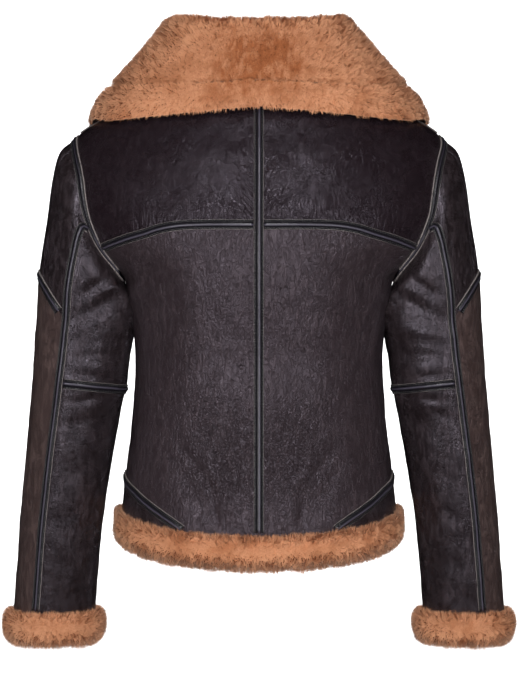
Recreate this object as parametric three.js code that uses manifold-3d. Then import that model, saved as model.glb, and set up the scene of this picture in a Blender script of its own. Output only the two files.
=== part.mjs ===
// A sheepskin flying jacket, filled out as worn: leather panels with taped seams, and a wool collar, hem and cuffs.
// Millimetres, +Z up. The back faces -Y and the zipped front faces +Y, so +X is the wearer's right.
// The origin is the middle of the neck base, level with the neck ends of the shoulder seams.
import * as THREE from "three";
import { mergeVertices } from "three/addons/utils/BufferGeometryUtils.js";
import Module from "manifold-3d";

const wasm = await Module();
wasm.setup();

const DEG = Math.PI / 180;

// Walls, seams and tapes
const SKIN = 7; // leather with its clipped wool inside
const SEAM_GAP = 0.3;
const TAPE_LIFT = 0.8;
const TAPE_TOP = 2.4;
const TAPE_HALF = 5.6;
const ARMHOLE_TAPE_HALF = 4.6;
const COLLAR_WOOL = 15;
const COLLAR_SEAM = 0.81; // share of the collar's width, from the neck, where its edge strip is sewn on
const COLLAR_FOLD = 5; // inside radius of the fold
const COLLAR_RISE = 0.6; // of its seam above the neckline
const COLLAR_BULGE = 2.5;

// The torso's sections: half width, and depth behind and in front of the side seams.
const SECTION_POWER = 2.2;
const TORSO_SECTIONS = [
  { z: -560, halfWidth: 166, back: 120, front: 117 },
  { z: -494, halfWidth: 160, back: 118, front: 116 },
  { z: -439, halfWidth: 154, back: 114, front: 113 },
  { z: -400, halfWidth: 149, back: 111, front: 111 },
  { z: -327, halfWidth: 144.5, back: 108, front: 110 },
  { z: -280, halfWidth: 147.5, back: 112, front: 116 },
  { z: -250, halfWidth: 150.5, back: 115, front: 120 },
  { z: -226, halfWidth: 157, back: 117, front: 122 },
  { z: -190, halfWidth: 195, back: 117, front: 122 },
  { z: -150, halfWidth: 220, back: 114, front: 119 },
  { z: -100, halfWidth: 224, back: 106, front: 111 },
  { z: -63, halfWidth: 213, back: 95, front: 100 },
  { z: -42, halfWidth: 183, back: 88, front: 92 },
  { z: -25, halfWidth: 143, back: 79, front: 82 },
  { z: -12, halfWidth: 108, back: 72, front: 70 },
  { z: 0, halfWidth: 79, back: 67, front: 60 },
];
const HEM = { side: -494, backDip: 26, frontDip: 16, power: 1.2 };
const SHOULDER_Z = -63;
const SHOULDER_SEAM = [0, -10, -22, -35, -49, SHOULDER_Z]; // heights of its points, neck to shoulder
const UNDERARM_Z = -226;
const ZIP_HALF = 5.5; // from the middle of the front to each leather edge

// Neckline, from the middle of the back to the shoulder seam, and from there to the zip
const NECK_BACK = [
  { x: 0, z: -6 },
  { x: 20, z: -5.8 },
  { x: 38, z: -5.2 },
  { x: 53, z: -4.2 },
  { x: 65, z: -3 },
  { x: 73, z: -1.8 },
  { x: 77.5, z: -0.7 },
  { x: 79, z: 0 },
];
const NECK_FRONT = [
  { x: 79, z: 0 },
  { x: 79.5, z: -2.5 },
  { x: 78.5, z: -6.5 },
  { x: 76, z: -15 },
  { x: 69, z: -33 },
  { x: 56, z: -53 },
  { x: 39, z: -72 },
  { x: 22, z: -87 },
  { x: ZIP_HALF, z: -96 },
];

// Seams on the back, as heights at angles round the torso from the middle of the back
const YOKE_SEAM = [
  { deg: 0, z: -170 },
  { deg: 22, z: -170 },
  { deg: 31, z: -173.5 },
  { deg: 38, z: -179 },
  { deg: 48, z: -185 },
  { deg: 58, z: -190 },
];
const HIP_START = 29; // where the hip seam leaves the hem
const HIP_CUT = 0.35; // share of the seam's first step that is cut off the hip panel's tip
const HIP_SEAM = [
  { deg: 33, z: -508 },
  { deg: 39, z: -499 },
  { deg: 47.6, z: -488 },
  { deg: 60, z: -474 },
  { deg: 75, z: -463 },
  { deg: 90, z: -455 },
];

// Armhole: an oval seen from the side, laid on the torso. 0 is the shoulder, 90 the back, 180 the underarm.
const ARMHOLE = { top: SHOULDER_Z, bottom: UNDERARM_Z, halfBack: 56, halfFront: 58 };
const ARMHOLE_YOKE = 127;
const ARMHOLE_REACH = 22; // how far the walls turn towards each other before the armhole seam
const FOLD_FADE = 40; // folds die away this far from the middle seams and the side seams
const stops = (from, to, count) =>
  Array.from({ length: count + 1 }, (_, i) => from + ((to - from) * i) / count);
const ARMHOLE_STOPS = [
  ...stops(0, ARMHOLE_YOKE, 8),
  ...stops(ARMHOLE_YOKE, 180, 4).slice(1),
  ...stops(180, 360, 12).slice(1),
];
const STOP = { cap: 2, backSeam: 7, yoke: 8, underarm: 12, frontSeam: 17, top: 24 };

// The sleeve's sections: its outer and inner points, and its middle and half depth from back to front
const SLEEVE_SECTIONS = [
  { t: 0, outX: 213, outZ: -63, inX: 157, inZ: -226, midY: 0, halfDepth: 56 },
  { t: 0.06, outX: 232, outZ: -79, inX: 156.8, inZ: -229, midY: 0, halfDepth: 58 },
  { t: 0.12, outX: 241, outZ: -112, inX: 156.2, inZ: -234, midY: 0, halfDepth: 60 },
  { t: 0.2, outX: 248, outZ: -160, inX: 154.4, inZ: -243, midY: 1, halfDepth: 61 },
  { t: 0.3, outX: 257, outZ: -218, inX: 151.8, inZ: -261, midY: 2, halfDepth: 60 },
  { t: 0.4, outX: 261, outZ: -275, inX: 149.4, inZ: -297, midY: 4, halfDepth: 57 },
  { t: 0.52, outX: 266, outZ: -342, inX: 154.6, inZ: -349, midY: 7, halfDepth: 54 },
  { t: 0.66, outX: 273, outZ: -420, inX: 169.5, inZ: -422, midY: 12, halfDepth: 51 },
  { t: 0.82, outX: 282, outZ: -516, inX: 184.5, inZ: -516, midY: 18, halfDepth: 48 },
  { t: 1, outX: 290, outZ: -620, inX: 194, inZ: -620, midY: 26, halfDepth: 47 },
];
const SLEEVE_FADE = 0.24; // by this share of its length the sleeve has left the armhole's shape
const BACK_SEAM = [
  { t: 0, deg: ARMHOLE_STOPS[STOP.backSeam] },
  { t: 0.12, deg: 91 },
  { t: 0.2, deg: 80 },
  { t: 0.3, deg: 75.5 },
  { t: 0.45, deg: 71 },
  { t: 0.6, deg: 69 },
  { t: 1, deg: 68 },
];
const FRONT_SEAM = [
  { t: 0, deg: ARMHOLE_STOPS[STOP.frontSeam] },
  { t: 0.2, deg: 272 },
  { t: 0.45, deg: 284 },
  { t: 1, deg: 286 },
];
const CAP_SEAM = [
  { t: 0, deg: ARMHOLE_STOPS[STOP.cap] },
  { t: 0.2, deg: 30 },
  { t: 1, deg: 28 },
];
const DIAGONAL = { outerZ: -221, drop: 80 };
const ELBOW = { z: -350, tilt: 6 };
const SLEEVE_ROWS = { cap: 8, patch: 3, lower: 6 };

// Soft folds pressed into the leather: place, half length and half width along it, turn from upright, depth
const TORSO_FOLDS = [
  { x: 62, z: -478, side: "back", long: 70, wide: 17, turn: 28, depth: 3.2 },
  { x: 44, z: -425, side: "back", long: 60, wide: 19, turn: 38, depth: 2.6 },
  { x: 118, z: -300, side: "back", long: 70, wide: 20, turn: -8, depth: 3 },
  { x: 112, z: -338, side: "front", long: 55, wide: 20, turn: 30, depth: 3 },
  { x: 60, z: -455, side: "front", long: 70, wide: 20, turn: -24, depth: 2.6 },
];
const SLEEVE_FOLDS = [
  { deg: 118, z: -262, long: 40, wide: 12, turn: 66, depth: 3.2 },
  { deg: 124, z: -300, long: 42, wide: 13, turn: 80, depth: 2.6 },
  { deg: 140, z: -392, long: 36, wide: 15, turn: 78, depth: 2.6 },
  { deg: 228, z: -330, long: 44, wide: 14, turn: -76, depth: 3.4 },
  { deg: 236, z: -372, long: 40, wide: 14, turn: -82, depth: 2.8 },
  { deg: 46, z: -430, long: 50, wide: 15, turn: 12, depth: 2 },
];

// Collar, from the middle of the back to its front end: leather points on the fold and on the outer edge
const COLLAR = [
  { s: 0, foldX: 0, foldY: -82, foldZ: 53, edgeX: 0, edgeY: -97, edgeZ: -42 },
  { s: 0.13, foldX: 44, foldY: -77, foldZ: 54, edgeX: 62, edgeY: -94.5, edgeZ: -44 },
  { s: 0.26, foldX: 81, foldY: -56, foldZ: 59, edgeX: 121, edgeY: -83, edgeZ: -45 },
  { s: 0.38, foldX: 98, foldY: -20, foldZ: 63, edgeX: 169, edgeY: -57, edgeZ: -44 },
  { s: 0.5, foldX: 99, foldY: 18, foldZ: 53, edgeX: 194, edgeY: 0, edgeZ: -38 },
  { s: 0.63, foldX: 90, foldY: 55, foldZ: 28, edgeX: 192, edgeY: 55, edgeZ: -57 },
  { s: 0.76, foldX: 66, foldY: 87, foldZ: -8, edgeX: 160, edgeY: 97, edgeZ: -92 },
  { s: 0.88, foldX: 41, foldY: 108, foldZ: -46, edgeX: 114, edgeY: 117, edgeZ: -131 },
  { s: 1, foldX: 19, foldY: 119, foldZ: -78, edgeX: 64, edgeY: 127, edgeZ: -160 },
];
const COLLAR_STEPS = 18; // along each half

// Outlines of the rolled wool bands, from the leather's edge: outwards, then up
const HEM_ROLL = [
  [-8, -0.9],
  [0.5, -0.9],
  [0.7, 3],
  [5, 4.5],
  [8.6, 0],
  [9.6, -14],
  [8.6, -28],
  [2, -38],
  [-7, -37.5],
  [-10.5, -27],
  [-10.5, -9],
];
const CUFF_ROLL = [
  [-7.5, -1.2],
  [0.5, -1.2],
  [0.7, 3.5],
  [5, 6],
  [10.5, 2],
  [13.5, -9],
  [12, -23],
  [6, -34],
  [-4, -37],
  [-11, -30],
  [-13, -18],
  [-12, -6],
];
const HEM_STEPS = { middle: 5, hip: 7, front: 11 };
const HEM_FRONT_HALF = 1.2; // the wool bands meet in front, below the zip

// Zip
const ZIP = { tapeIn: 0.15, tapeOut: 5.3, back: -2.6, face: -1.3, top: -97, bottom: -507, steps: 18 };
const SLIDER = { z: -108, halfWidth: 4.6, halfHeight: 6.5, back: -1, face: 3.2, taper: 0.7 };
const EAR = { inner: 1.7, outer: 3, halfHeight: 1.9, reach: 3.4 };
const PULL = { axisOut: 5, barrelRadius: 1.1, barrelHalf: 1.4, neck: 4.5, halfWidth: 3.6, length: 30, half: 0.7 };

const LEATHER = new THREE.MeshStandardMaterial({ color: 0x2c2226, roughness: 0.42, metalness: 0 });
const BROWN_LEATHER = new THREE.MeshStandardMaterial({ color: 0x3d2e2a, roughness: 0.6, metalness: 0 });
const TAPE_LEATHER = new THREE.MeshStandardMaterial({ color: 0x241e26, roughness: 0.36, metalness: 0 });
const WOOL = new THREE.MeshStandardMaterial({ color: 0xb57f5a, roughness: 0.95, metalness: 0 });
const ZIP_CLOTH = new THREE.MeshStandardMaterial({ color: 0x1c1716, roughness: 0.85, metalness: 0 });
const ZIP_METAL = new THREE.MeshStandardMaterial({ color: 0x8a7a5c, roughness: 0.35, metalness: 1 });

const jacket = new THREE.Group();

// A smooth value of one column of a table, at a place along another that rises
function smooth(rows, axis, column, at) {
  const last = rows.length - 1;
  let i = 0;
  while (i < last - 1 && at > rows[i + 1][axis]) i += 1;
  const slope = (k) => {
    const a = rows[Math.max(0, k - 1)];
    const b = rows[Math.min(last, k + 1)];
    return (b[column] - a[column]) / (b[axis] - a[axis]);
  };
  const a = rows[i];
  const b = rows[i + 1];
  const span = b[axis] - a[axis];
  const f = (at - a[axis]) / span;
  if (f < 0) return a[column] + slope(0) * (at - a[axis]);
  if (f > 1) return b[column] + slope(last) * (at - b[axis]);
  const f2 = f * f;
  const f3 = f2 * f;
  return (
    (2 * f3 - 3 * f2 + 1) * a[column] +
    (f3 - 2 * f2 + f) * span * slope(i) +
    (3 * f2 - 2 * f3) * b[column] +
    (f3 - f2) * span * slope(i + 1)
  );
}

const ease = (f) => {
  const c = Math.min(1, Math.max(0, f));
  return c * c * (3 - 2 * c);
};

// How far the folds press in at a place, given as distances across and up from each fold's middle
function pressed(folds, offsets) {
  let total = 0;
  for (const fold of folds) {
    const [across, up] = offsets(fold);
    const turn = fold.turn * DEG;
    const along = up * Math.cos(turn) + across * Math.sin(turn);
    const aside = across * Math.cos(turn) - up * Math.sin(turn);
    total += fold.depth * Math.exp(-((along / fold.long) ** 2) - (aside / fold.wide) ** 2);
  }
  return total;
}

// The torso's smooth form before folds: angle from the middle of the back towards +X, and height
function torsoForm(angle, z) {
  const half = smooth(TORSO_SECTIONS, "z", "halfWidth", z);
  const depth = smooth(TORSO_SECTIONS, "z", Math.cos(angle) > 0 ? "back" : "front", z);
  const s = Math.sin(angle);
  const c = Math.cos(angle);
  const r = (Math.abs(s) ** SECTION_POWER + Math.abs(c) ** SECTION_POWER) ** (-1 / SECTION_POWER);
  return new THREE.Vector3(half * r * s, -depth * r * c, z);
}

// The sleeve's ovals before folds: degrees round from the outside over the back, and share of its length
function sleeveOval(deg, t) {
  const get = (column) => smooth(SLEEVE_SECTIONS, "t", column, t);
  const c = Math.cos(deg * DEG);
  const outX = get("outX");
  const outZ = get("outZ");
  const inX = get("inX");
  const inZ = get("inZ");
  return new THREE.Vector3(
    (outX + inX) / 2 + (c * (outX - inX)) / 2,
    get("midY") - get("halfDepth") * Math.sin(deg * DEG),
    (outZ + inZ) / 2 + (c * (outZ - inZ)) / 2,
  );
}

// A point of the armhole as the torso's angle and height
function armholeOnTorso(deg) {
  const c = Math.cos(deg * DEG);
  const s = Math.sin(deg * DEG);
  const z = (ARMHOLE.top + ARMHOLE.bottom) / 2 + (c * (ARMHOLE.top - ARMHOLE.bottom)) / 2;
  const y = -s * (s > 0 ? ARMHOLE.halfBack : ARMHOLE.halfFront);
  const depth = smooth(TORSO_SECTIONS, "z", y < 0 ? "back" : "front", z);
  const share = Math.abs(y) / depth;
  const across = (1 - share ** SECTION_POWER) ** (1 / SECTION_POWER);
  return [Math.atan2(across, -y / depth), z];
}

function torsoPoint(angle, z) {
  const p = torsoForm(angle, z);
  const folds = TORSO_FOLDS.filter(({ side }) => (side === "back") === p.y < 0);
  const fade = ease(Math.abs(p.x) / FOLD_FADE) * ease(Math.abs(p.y) / FOLD_FADE);
  const inward = fade * pressed(folds, (fold) => [Math.abs(p.x) - fold.x, z - fold.z]);
  const flat = Math.hypot(p.x, p.y);
  return new THREE.Vector3(p.x * (1 - inward / flat), p.y * (1 - inward / flat), z);
}

function sleevePoint(deg, t) {
  const p = sleeveOval(deg, t);
  const fade = 1 - ease(t / SLEEVE_FADE);
  if (fade > 0) {
    const start = torsoPoint(...armholeOnTorso(((deg % 360) + 360) % 360));
    p.add(start.sub(sleeveOval(deg, 0)).multiplyScalar(fade));
  }
  const girth = 52;
  const inward = pressed(SLEEVE_FOLDS, (fold) => [
    ((((deg - fold.deg) % 360) + 540) % 360 - 180) * DEG * girth,
    p.z - fold.z,
  ]) * (1 - fade);
  const middle = sleeveOval(deg, t).lerp(sleeveOval(deg + 180, t), 0.5);
  return p.lerp(middle, inward / girth);
}

const torso = { at: torsoPoint, steps: [2e-3, 0.2] };
const sleeve = { at: sleevePoint, steps: [0.1, 4e-4] };

// A surface's point, its two directions and its outward normal
function frameAt(surface, [u, v]) {
  const [du, dv] = surface.steps;
  const along = surface.at(u + du, v).sub(surface.at(u - du, v)).divideScalar(2 * du);
  const up = surface.at(u, v + dv).sub(surface.at(u, v - dv)).divideScalar(2 * dv);
  return { point: surface.at(u, v), along, up, normal: along.clone().cross(up).normalize() };
}

// The torso's angle at a distance across, at a height, behind or in front
function angleAt(x, z, inFront) {
  const share = Math.min(1, x / smooth(TORSO_SECTIONS, "z", "halfWidth", z));
  const rest = (1 - share ** SECTION_POWER) ** (1 / SECTION_POWER);
  return Math.atan2(share, inFront ? -rest : rest);
}

// The neckline's places on the torso, from the middle of the back, 0, to the zip, 1
const NECK_SIDE = (NECK_BACK.length - 1) / (NECK_BACK.length + NECK_FRONT.length - 2);
const neckRows = [...NECK_BACK, ...NECK_FRONT.slice(1)].map(({ x, z }, i, all) => ({
  s: i / (all.length - 1),
  angle: angleAt(x, z, i >= NECK_BACK.length),
  z,
}));
const neckPlace = (s) => [smooth(neckRows, "s", "angle", s), smooth(neckRows, "s", "z", s)];

const hemHeight = (angle) =>
  HEM.side - (Math.cos(angle) > 0 ? HEM.backDip : HEM.frontDip) * Math.abs(Math.cos(angle)) ** HEM.power;

// Where the walls of torso and sleeve meet at the armhole, and the way into the wall there
const armholeRing = stops(0, 360, 72).slice(1).map((deg) => {
  const onTorso = frameAt(torso, armholeOnTorso(deg));
  const onSleeve = frameAt(sleeve, [deg, 2 * sleeve.steps[1]]);
  const point = onTorso.point;
  const next = torsoPoint(...armholeOnTorso((deg + 1) % 360));
  const tangent = next.sub(point).normalize();
  const centre = new THREE.Vector3(200, 0, (ARMHOLE.top + ARMHOLE.bottom) / 2);
  const fromTorso = tangent.clone().cross(onTorso.normal).normalize();
  if (fromTorso.dot(centre.sub(point)) < 0) fromTorso.negate();
  const ontoSleeve = onSleeve.up.addScaledVector(tangent, -onSleeve.up.dot(tangent)).normalize();
  const into = fromTorso.sub(ontoSleeve).sub(onTorso.normal).sub(onSleeve.normal).normalize();
  return { point, into };
});

// The way into the wall: against the normal, turned near the armhole so that the two walls share one face
function inwardAt(point, normal) {
  let nearest = ARMHOLE_REACH;
  let into = null;
  armholeRing.forEach((rim, i) => {
    const next = armholeRing[(i + 1) % armholeRing.length];
    const chord = next.point.clone().sub(rim.point);
    const along = point.clone().sub(rim.point).dot(chord) / chord.lengthSq();
    const f = Math.min(1, Math.max(0, along));
    const apart = rim.point.clone().addScaledVector(chord, f).distanceTo(point);
    if (apart < nearest) {
      nearest = apart;
      into = rim.into.clone().lerp(next.into, f).normalize();
    }
  });
  const outright = normal.clone().negate();
  if (!into) return outright;
  return outright.lerp(into, (1 - nearest / ARMHOLE_REACH) ** 1.5).normalize();
}

// A closed solid between an outer and an inner grid of points, each a list of rows
function closedGrid(outer, inner) {
  const rows = outer.length;
  const columns = outer[0].length;
  const points = [...outer.flat(), ...inner.flat()];
  const index = [];
  const quad = (a, b, c, d) => index.push(a, b, c, a, c, d);
  const at = (j, i) => j * columns + i;
  const below = rows * columns;
  for (let j = 0; j + 1 < rows; j += 1) {
    for (let i = 0; i + 1 < columns; i += 1) {
      const [a, b, c, d] = [at(j, i), at(j, i + 1), at(j + 1, i + 1), at(j + 1, i)];
      quad(a, b, c, d);
      quad(below + d, below + c, below + b, below + a);
    }
  }
  const rim = [];
  for (let i = 0; i < columns; i += 1) rim.push(at(0, i));
  for (let j = 1; j < rows; j += 1) rim.push(at(j, columns - 1));
  for (let i = columns - 2; i >= 0; i -= 1) rim.push(at(rows - 1, i));
  for (let j = rows - 2; j > 0; j -= 1) rim.push(at(j, 0));
  // A twisted edge is split the way that hollows it, so it stays clear of its neighbour.
  rim.forEach((a, k) => {
    const b = rim[(k + 1) % rim.length];
    const [c, d] = [below + b, below + a];
    const plane = new THREE.Plane().setFromCoplanarPoints(points[a], points[d], points[c]);
    if (plane.distanceToPoint(points[b]) < 0) index.push(a, d, b, b, d, c);
    else quad(a, d, c, b);
  });
  return solid(points, index);
}

function solid(points, index) {
  const geometry = new THREE.BufferGeometry().setFromPoints(points);
  geometry.setIndex(index);
  geometry.computeVertexNormals();
  return geometry;
}

// A closed solid through rings of points. Open ends get flat caps round their middles.
function throughRings(rings, joined) {
  const count = rings[0].length;
  const points = rings.flat();
  const index = [];
  const spans = joined ? rings.length : rings.length - 1;
  for (let j = 0; j < spans; j += 1) {
    for (let i = 0; i < count; i += 1) {
      const a = j * count + i;
      const b = j * count + ((i + 1) % count);
      const c = ((j + 1) % rings.length) * count + ((i + 1) % count);
      const d = ((j + 1) % rings.length) * count + i;
      index.push(a, b, c, a, c, d);
    }
  }
  if (!joined) {
    for (const [ring, flip] of [[0, true], [rings.length - 1, false]]) {
      const middle = points.length;
      const sum = rings[ring].reduce((m, p) => m.add(p), new THREE.Vector3());
      points.push(sum.divideScalar(count));
      for (let i = 0; i < count; i += 1) {
        const a = ring * count + i;
        const b = ring * count + ((i + 1) % count);
        index.push(...(flip ? [middle, b, a] : [middle, a, b]));
      }
    }
  }
  return solid(points, index);
}

// Surface places over a region with four sides, each side a list of places
function between(start, end, left, right) {
  const columns = start.length - 1;
  const rows = left.length - 1;
  return left.map((_, j) =>
    start.map((_, i) => {
      const [u, v] = [i / columns, j / rows];
      return [0, 1].map(
        (k) =>
          (1 - v) * start[i][k] + v * end[i][k] + (1 - u) * left[j][k] + u * right[j][k] -
          (1 - u) * (1 - v) * start[0][k] - u * (1 - v) * start[columns][k] -
          (1 - u) * v * end[0][k] - u * v * end[columns][k],
      );
    }),
  );
}

// Moves the outermost places of a region in by half the gap between pieces
function drawnIn(surface, places) {
  const rows = places.length - 1;
  const columns = places[0].length - 1;
  const moved = places.map((row) => row.map((p) => [...p]));
  const shift = (j, i, towards) => {
    const from = moved[j][i];
    const apart = surface.at(...from).distanceTo(surface.at(...towards));
    const share = Math.min(0.4, SEAM_GAP / 2 / Math.max(apart, 1e-6));
    moved[j][i] = from.map((value, k) => value + (towards[k] - value) * share);
  };
  for (let j = 0; j <= rows; j += 1) {
    shift(j, 0, places[j][1]);
    shift(j, columns, places[j][columns - 1]);
  }
  for (let i = 0; i <= columns; i += 1) {
    shift(0, i, moved[1][i]);
    shift(rows, i, moved[rows - 1][i]);
  }
  return moved;
}

// A wall over places of a surface, from one height above it to another. Negative heights lie inside.
function wall(surface, places, low, high) {
  const layer = (height) =>
    places.map((row) =>
      row.map((place) => {
        const { point, normal } = frameAt(surface, place);
        return point.addScaledVector(inwardAt(point, normal), -height);
      }),
    );
  return closedGrid(layer(high), layer(low));
}

const panel = (surface, start, end, left, right) =>
  wall(surface, drawnIn(surface, between(start, end, left, right)), -SKIN, 0);

// The place a distance aside of another on a surface, square to a direction of travel
function aside(surface, place, travel, distance) {
  const { along, up, normal } = frameAt(surface, place);
  const way = travel.clone().cross(normal).normalize().multiplyScalar(distance);
  const [aa, ab, bb] = [along.dot(along), along.dot(up), up.dot(up)];
  const [wa, wb] = [way.dot(along), way.dot(up)];
  const det = aa * bb - ab * ab;
  return [place[0] + (wa * bb - wb * ab) / det, place[1] + (wb * aa - wa * ab) / det];
}

// The way along a line of places, at each of them
function travels(surface, line) {
  return line.map((_, i) => {
    const back = surface.at(...line[Math.max(0, i - 1)]);
    return surface.at(...line[Math.min(line.length - 1, i + 1)]).sub(back).normalize();
  });
}

// A line of places with a length cut off each end
function trimmed(surface, line, first, final) {
  const cut = (places, length) => {
    const kept = [...places];
    let left = length;
    while (left > 0 && kept.length > 2) {
      const apart = surface.at(...kept[0]).distanceTo(surface.at(...kept[1]));
      if (apart > left + 1) {
        kept[0] = kept[0].map((value, k) => value + ((kept[1][k] - value) * left) / apart);
        return kept;
      }
      kept.shift();
      left -= apart;
    }
    return kept;
  };
  return cut(cut(line, first).reverse(), final).reverse();
}

// A flat tape along a line of places on a surface
function tape(surface, line, first, final, half = TAPE_HALF) {
  const kept = trimmed(surface, line, first, final);
  const ways = travels(surface, kept);
  const places = kept.map((place, i) => [-half, 0, half].map((d) => aside(surface, place, ways[i], d)));
  return wall(surface, places, TAPE_LIFT, TAPE_TOP);
}

function add(name, geometry, material, turned = false) {
  const mesh = new THREE.Mesh(geometry, material);
  mesh.name = name;
  if (turned) mesh.scale.x = -1;
  jacket.add(mesh);
}

// The same piece on the wearer's right and, mirrored, on the left
function addPair(name, geometry, material) {
  add(`${name}_right`, geometry, material);
  add(`${name}_left`, geometry, material, true);
}

const zipEdge = (z) => angleAt(ZIP_HALF, z, true);
const column = (angle, heights) => heights.map((z) => [angle, z]);
const shoulderSeam = SHOULDER_SEAM.map((z) => [Math.PI / 2, z]);
const armholePart = (from, to) => ARMHOLE_STOPS.slice(from, to + 1).map((deg) => armholeOnTorso(deg));
const neckPart = (from, to, count) => stops(from, to, count).map(neckPlace);

function yokeSeam() {
  const end = armholeOnTorso(ARMHOLE_YOKE);
  const rows = [...YOKE_SEAM, { deg: end[0] / DEG, z: end[1] }];
  return stops(0, end[0] / DEG, 12).map((deg) => [deg * DEG, smooth(rows, "deg", "z", deg)]);
}

const hipRows = [{ deg: HIP_START, z: hemHeight(HIP_START * DEG) }, ...HIP_SEAM];
const hipSeam = stops(HIP_START, 90, HEM_STEPS.hip).map((deg) => [
  deg * DEG,
  smooth(hipRows, "deg", "z", deg),
]);
const hemPart = (from, to, count) => stops(from, to, count).map((a) => [a, hemHeight(a)]);
const hemMiddle = hemPart(0, hipSeam[0][0], HEM_STEPS.middle);
const hemFront = hemPart(Math.PI / 2, zipEdge(hemHeight(Math.PI)), HEM_STEPS.front);

function addBack() {
  const seam = yokeSeam();
  const neck = neckPart(0, NECK_SIDE, 7);
  const top = [...neck, ...shoulderSeam.slice(1)];
  const yokeMiddle = column(0, stops(seam[0][1], neck[0][1], 8));
  const yokeSide = armholePart(0, STOP.yoke).reverse();
  addPair("yoke", panel(torso, seam, top, yokeMiddle, yokeSide), LEATHER);

  const hip = hipSeam;
  const hem = [...hemMiddle, ...hip.slice(1)];
  const middle = column(0, stops(hem[0][1], seam[0][1], 11));
  const side = [
    ...column(Math.PI / 2, stops(hip[7][1], UNDERARM_Z, 7)).slice(0, -1),
    ...armholePart(STOP.yoke, STOP.underarm).reverse(),
  ];
  addPair("back", panel(torso, hem, seam, middle, side), LEATHER);

  // The hip panel starts where it is already a few millimetres tall.
  const hipTop = [hip[0].map((value, k) => value + (hip[1][k] - value) * HIP_CUT), ...hip.slice(1)];
  const hipHem = hipTop.map(([angle]) => [angle, hemHeight(angle)]);
  const small = stops(hipHem[0][1], hipTop[0][1], 2).map((z) => [hipTop[0][0], z]);
  const sideEnd = stops(hipHem[7][1], hipTop[7][1], 2).map((z) => [Math.PI / 2, z]);
  addPair("hip", panel(torso, hipHem, hipTop, small, sideEnd), LEATHER);

  const whole = [...middle, ...yokeMiddle.slice(1)];
  add("centre_back_tape", tape(torso, whole, 7, 2), TAPE_LEATHER);
  addPair("yoke_tape", tape(torso, seam, TAPE_HALF + SEAM_GAP, ARMHOLE_TAPE_HALF + 2.4), TAPE_LEATHER);
  addPair("hip_tape", tape(torso, hip, 33, 1), TAPE_LEATHER);
  addPair("shoulder_tape", tape(torso, shoulderSeam, 3, ARMHOLE_TAPE_HALF + 3), TAPE_LEATHER);
}

function addFront() {
  const neck = neckPart(NECK_SIDE, 1, HEM_STEPS.front);
  const side = [
    ...column(Math.PI / 2, stops(HEM.side, UNDERARM_Z, 7)).slice(0, -1),
    ...armholePart(STOP.underarm, STOP.top),
    ...shoulderSeam.slice(0, -1).reverse(),
  ];
  const middle = stops(hemHeight(Math.PI), neck[HEM_STEPS.front][1], side.length - 1);
  addPair("front", panel(torso, hemFront, neck, side, middle.map((z) => [zipEdge(z), z])), LEATHER);
}

// The share of the sleeve's length where it reaches a height, at an angle round it
function sleeveShare(deg, z) {
  let [low, high] = [0, 1];
  for (let k = 0; k < 30; k += 1) {
    const middle = (low + high) / 2;
    if (sleeveOval(deg, middle).z > z) low = middle;
    else high = middle;
  }
  return (low + high) / 2;
}

const seamDeg = (rows, t) => smooth(rows, "t", "deg", t);
const diagonalShare = (deg) =>
  sleeveShare(deg, DIAGONAL.outerZ - DIAGONAL.drop * (1 - Math.cos(deg * DEG)));
const elbowShare = (deg) => sleeveShare(deg, ELBOW.z + ELBOW.tilt * Math.cos(deg * DEG));

// Where a seam down the sleeve crosses one round it
function crossing(rows, shareAt) {
  let t = 0.4;
  for (let k = 0; k < 20; k += 1) t = shareAt(seamDeg(rows, t));
  return t;
}

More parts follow.
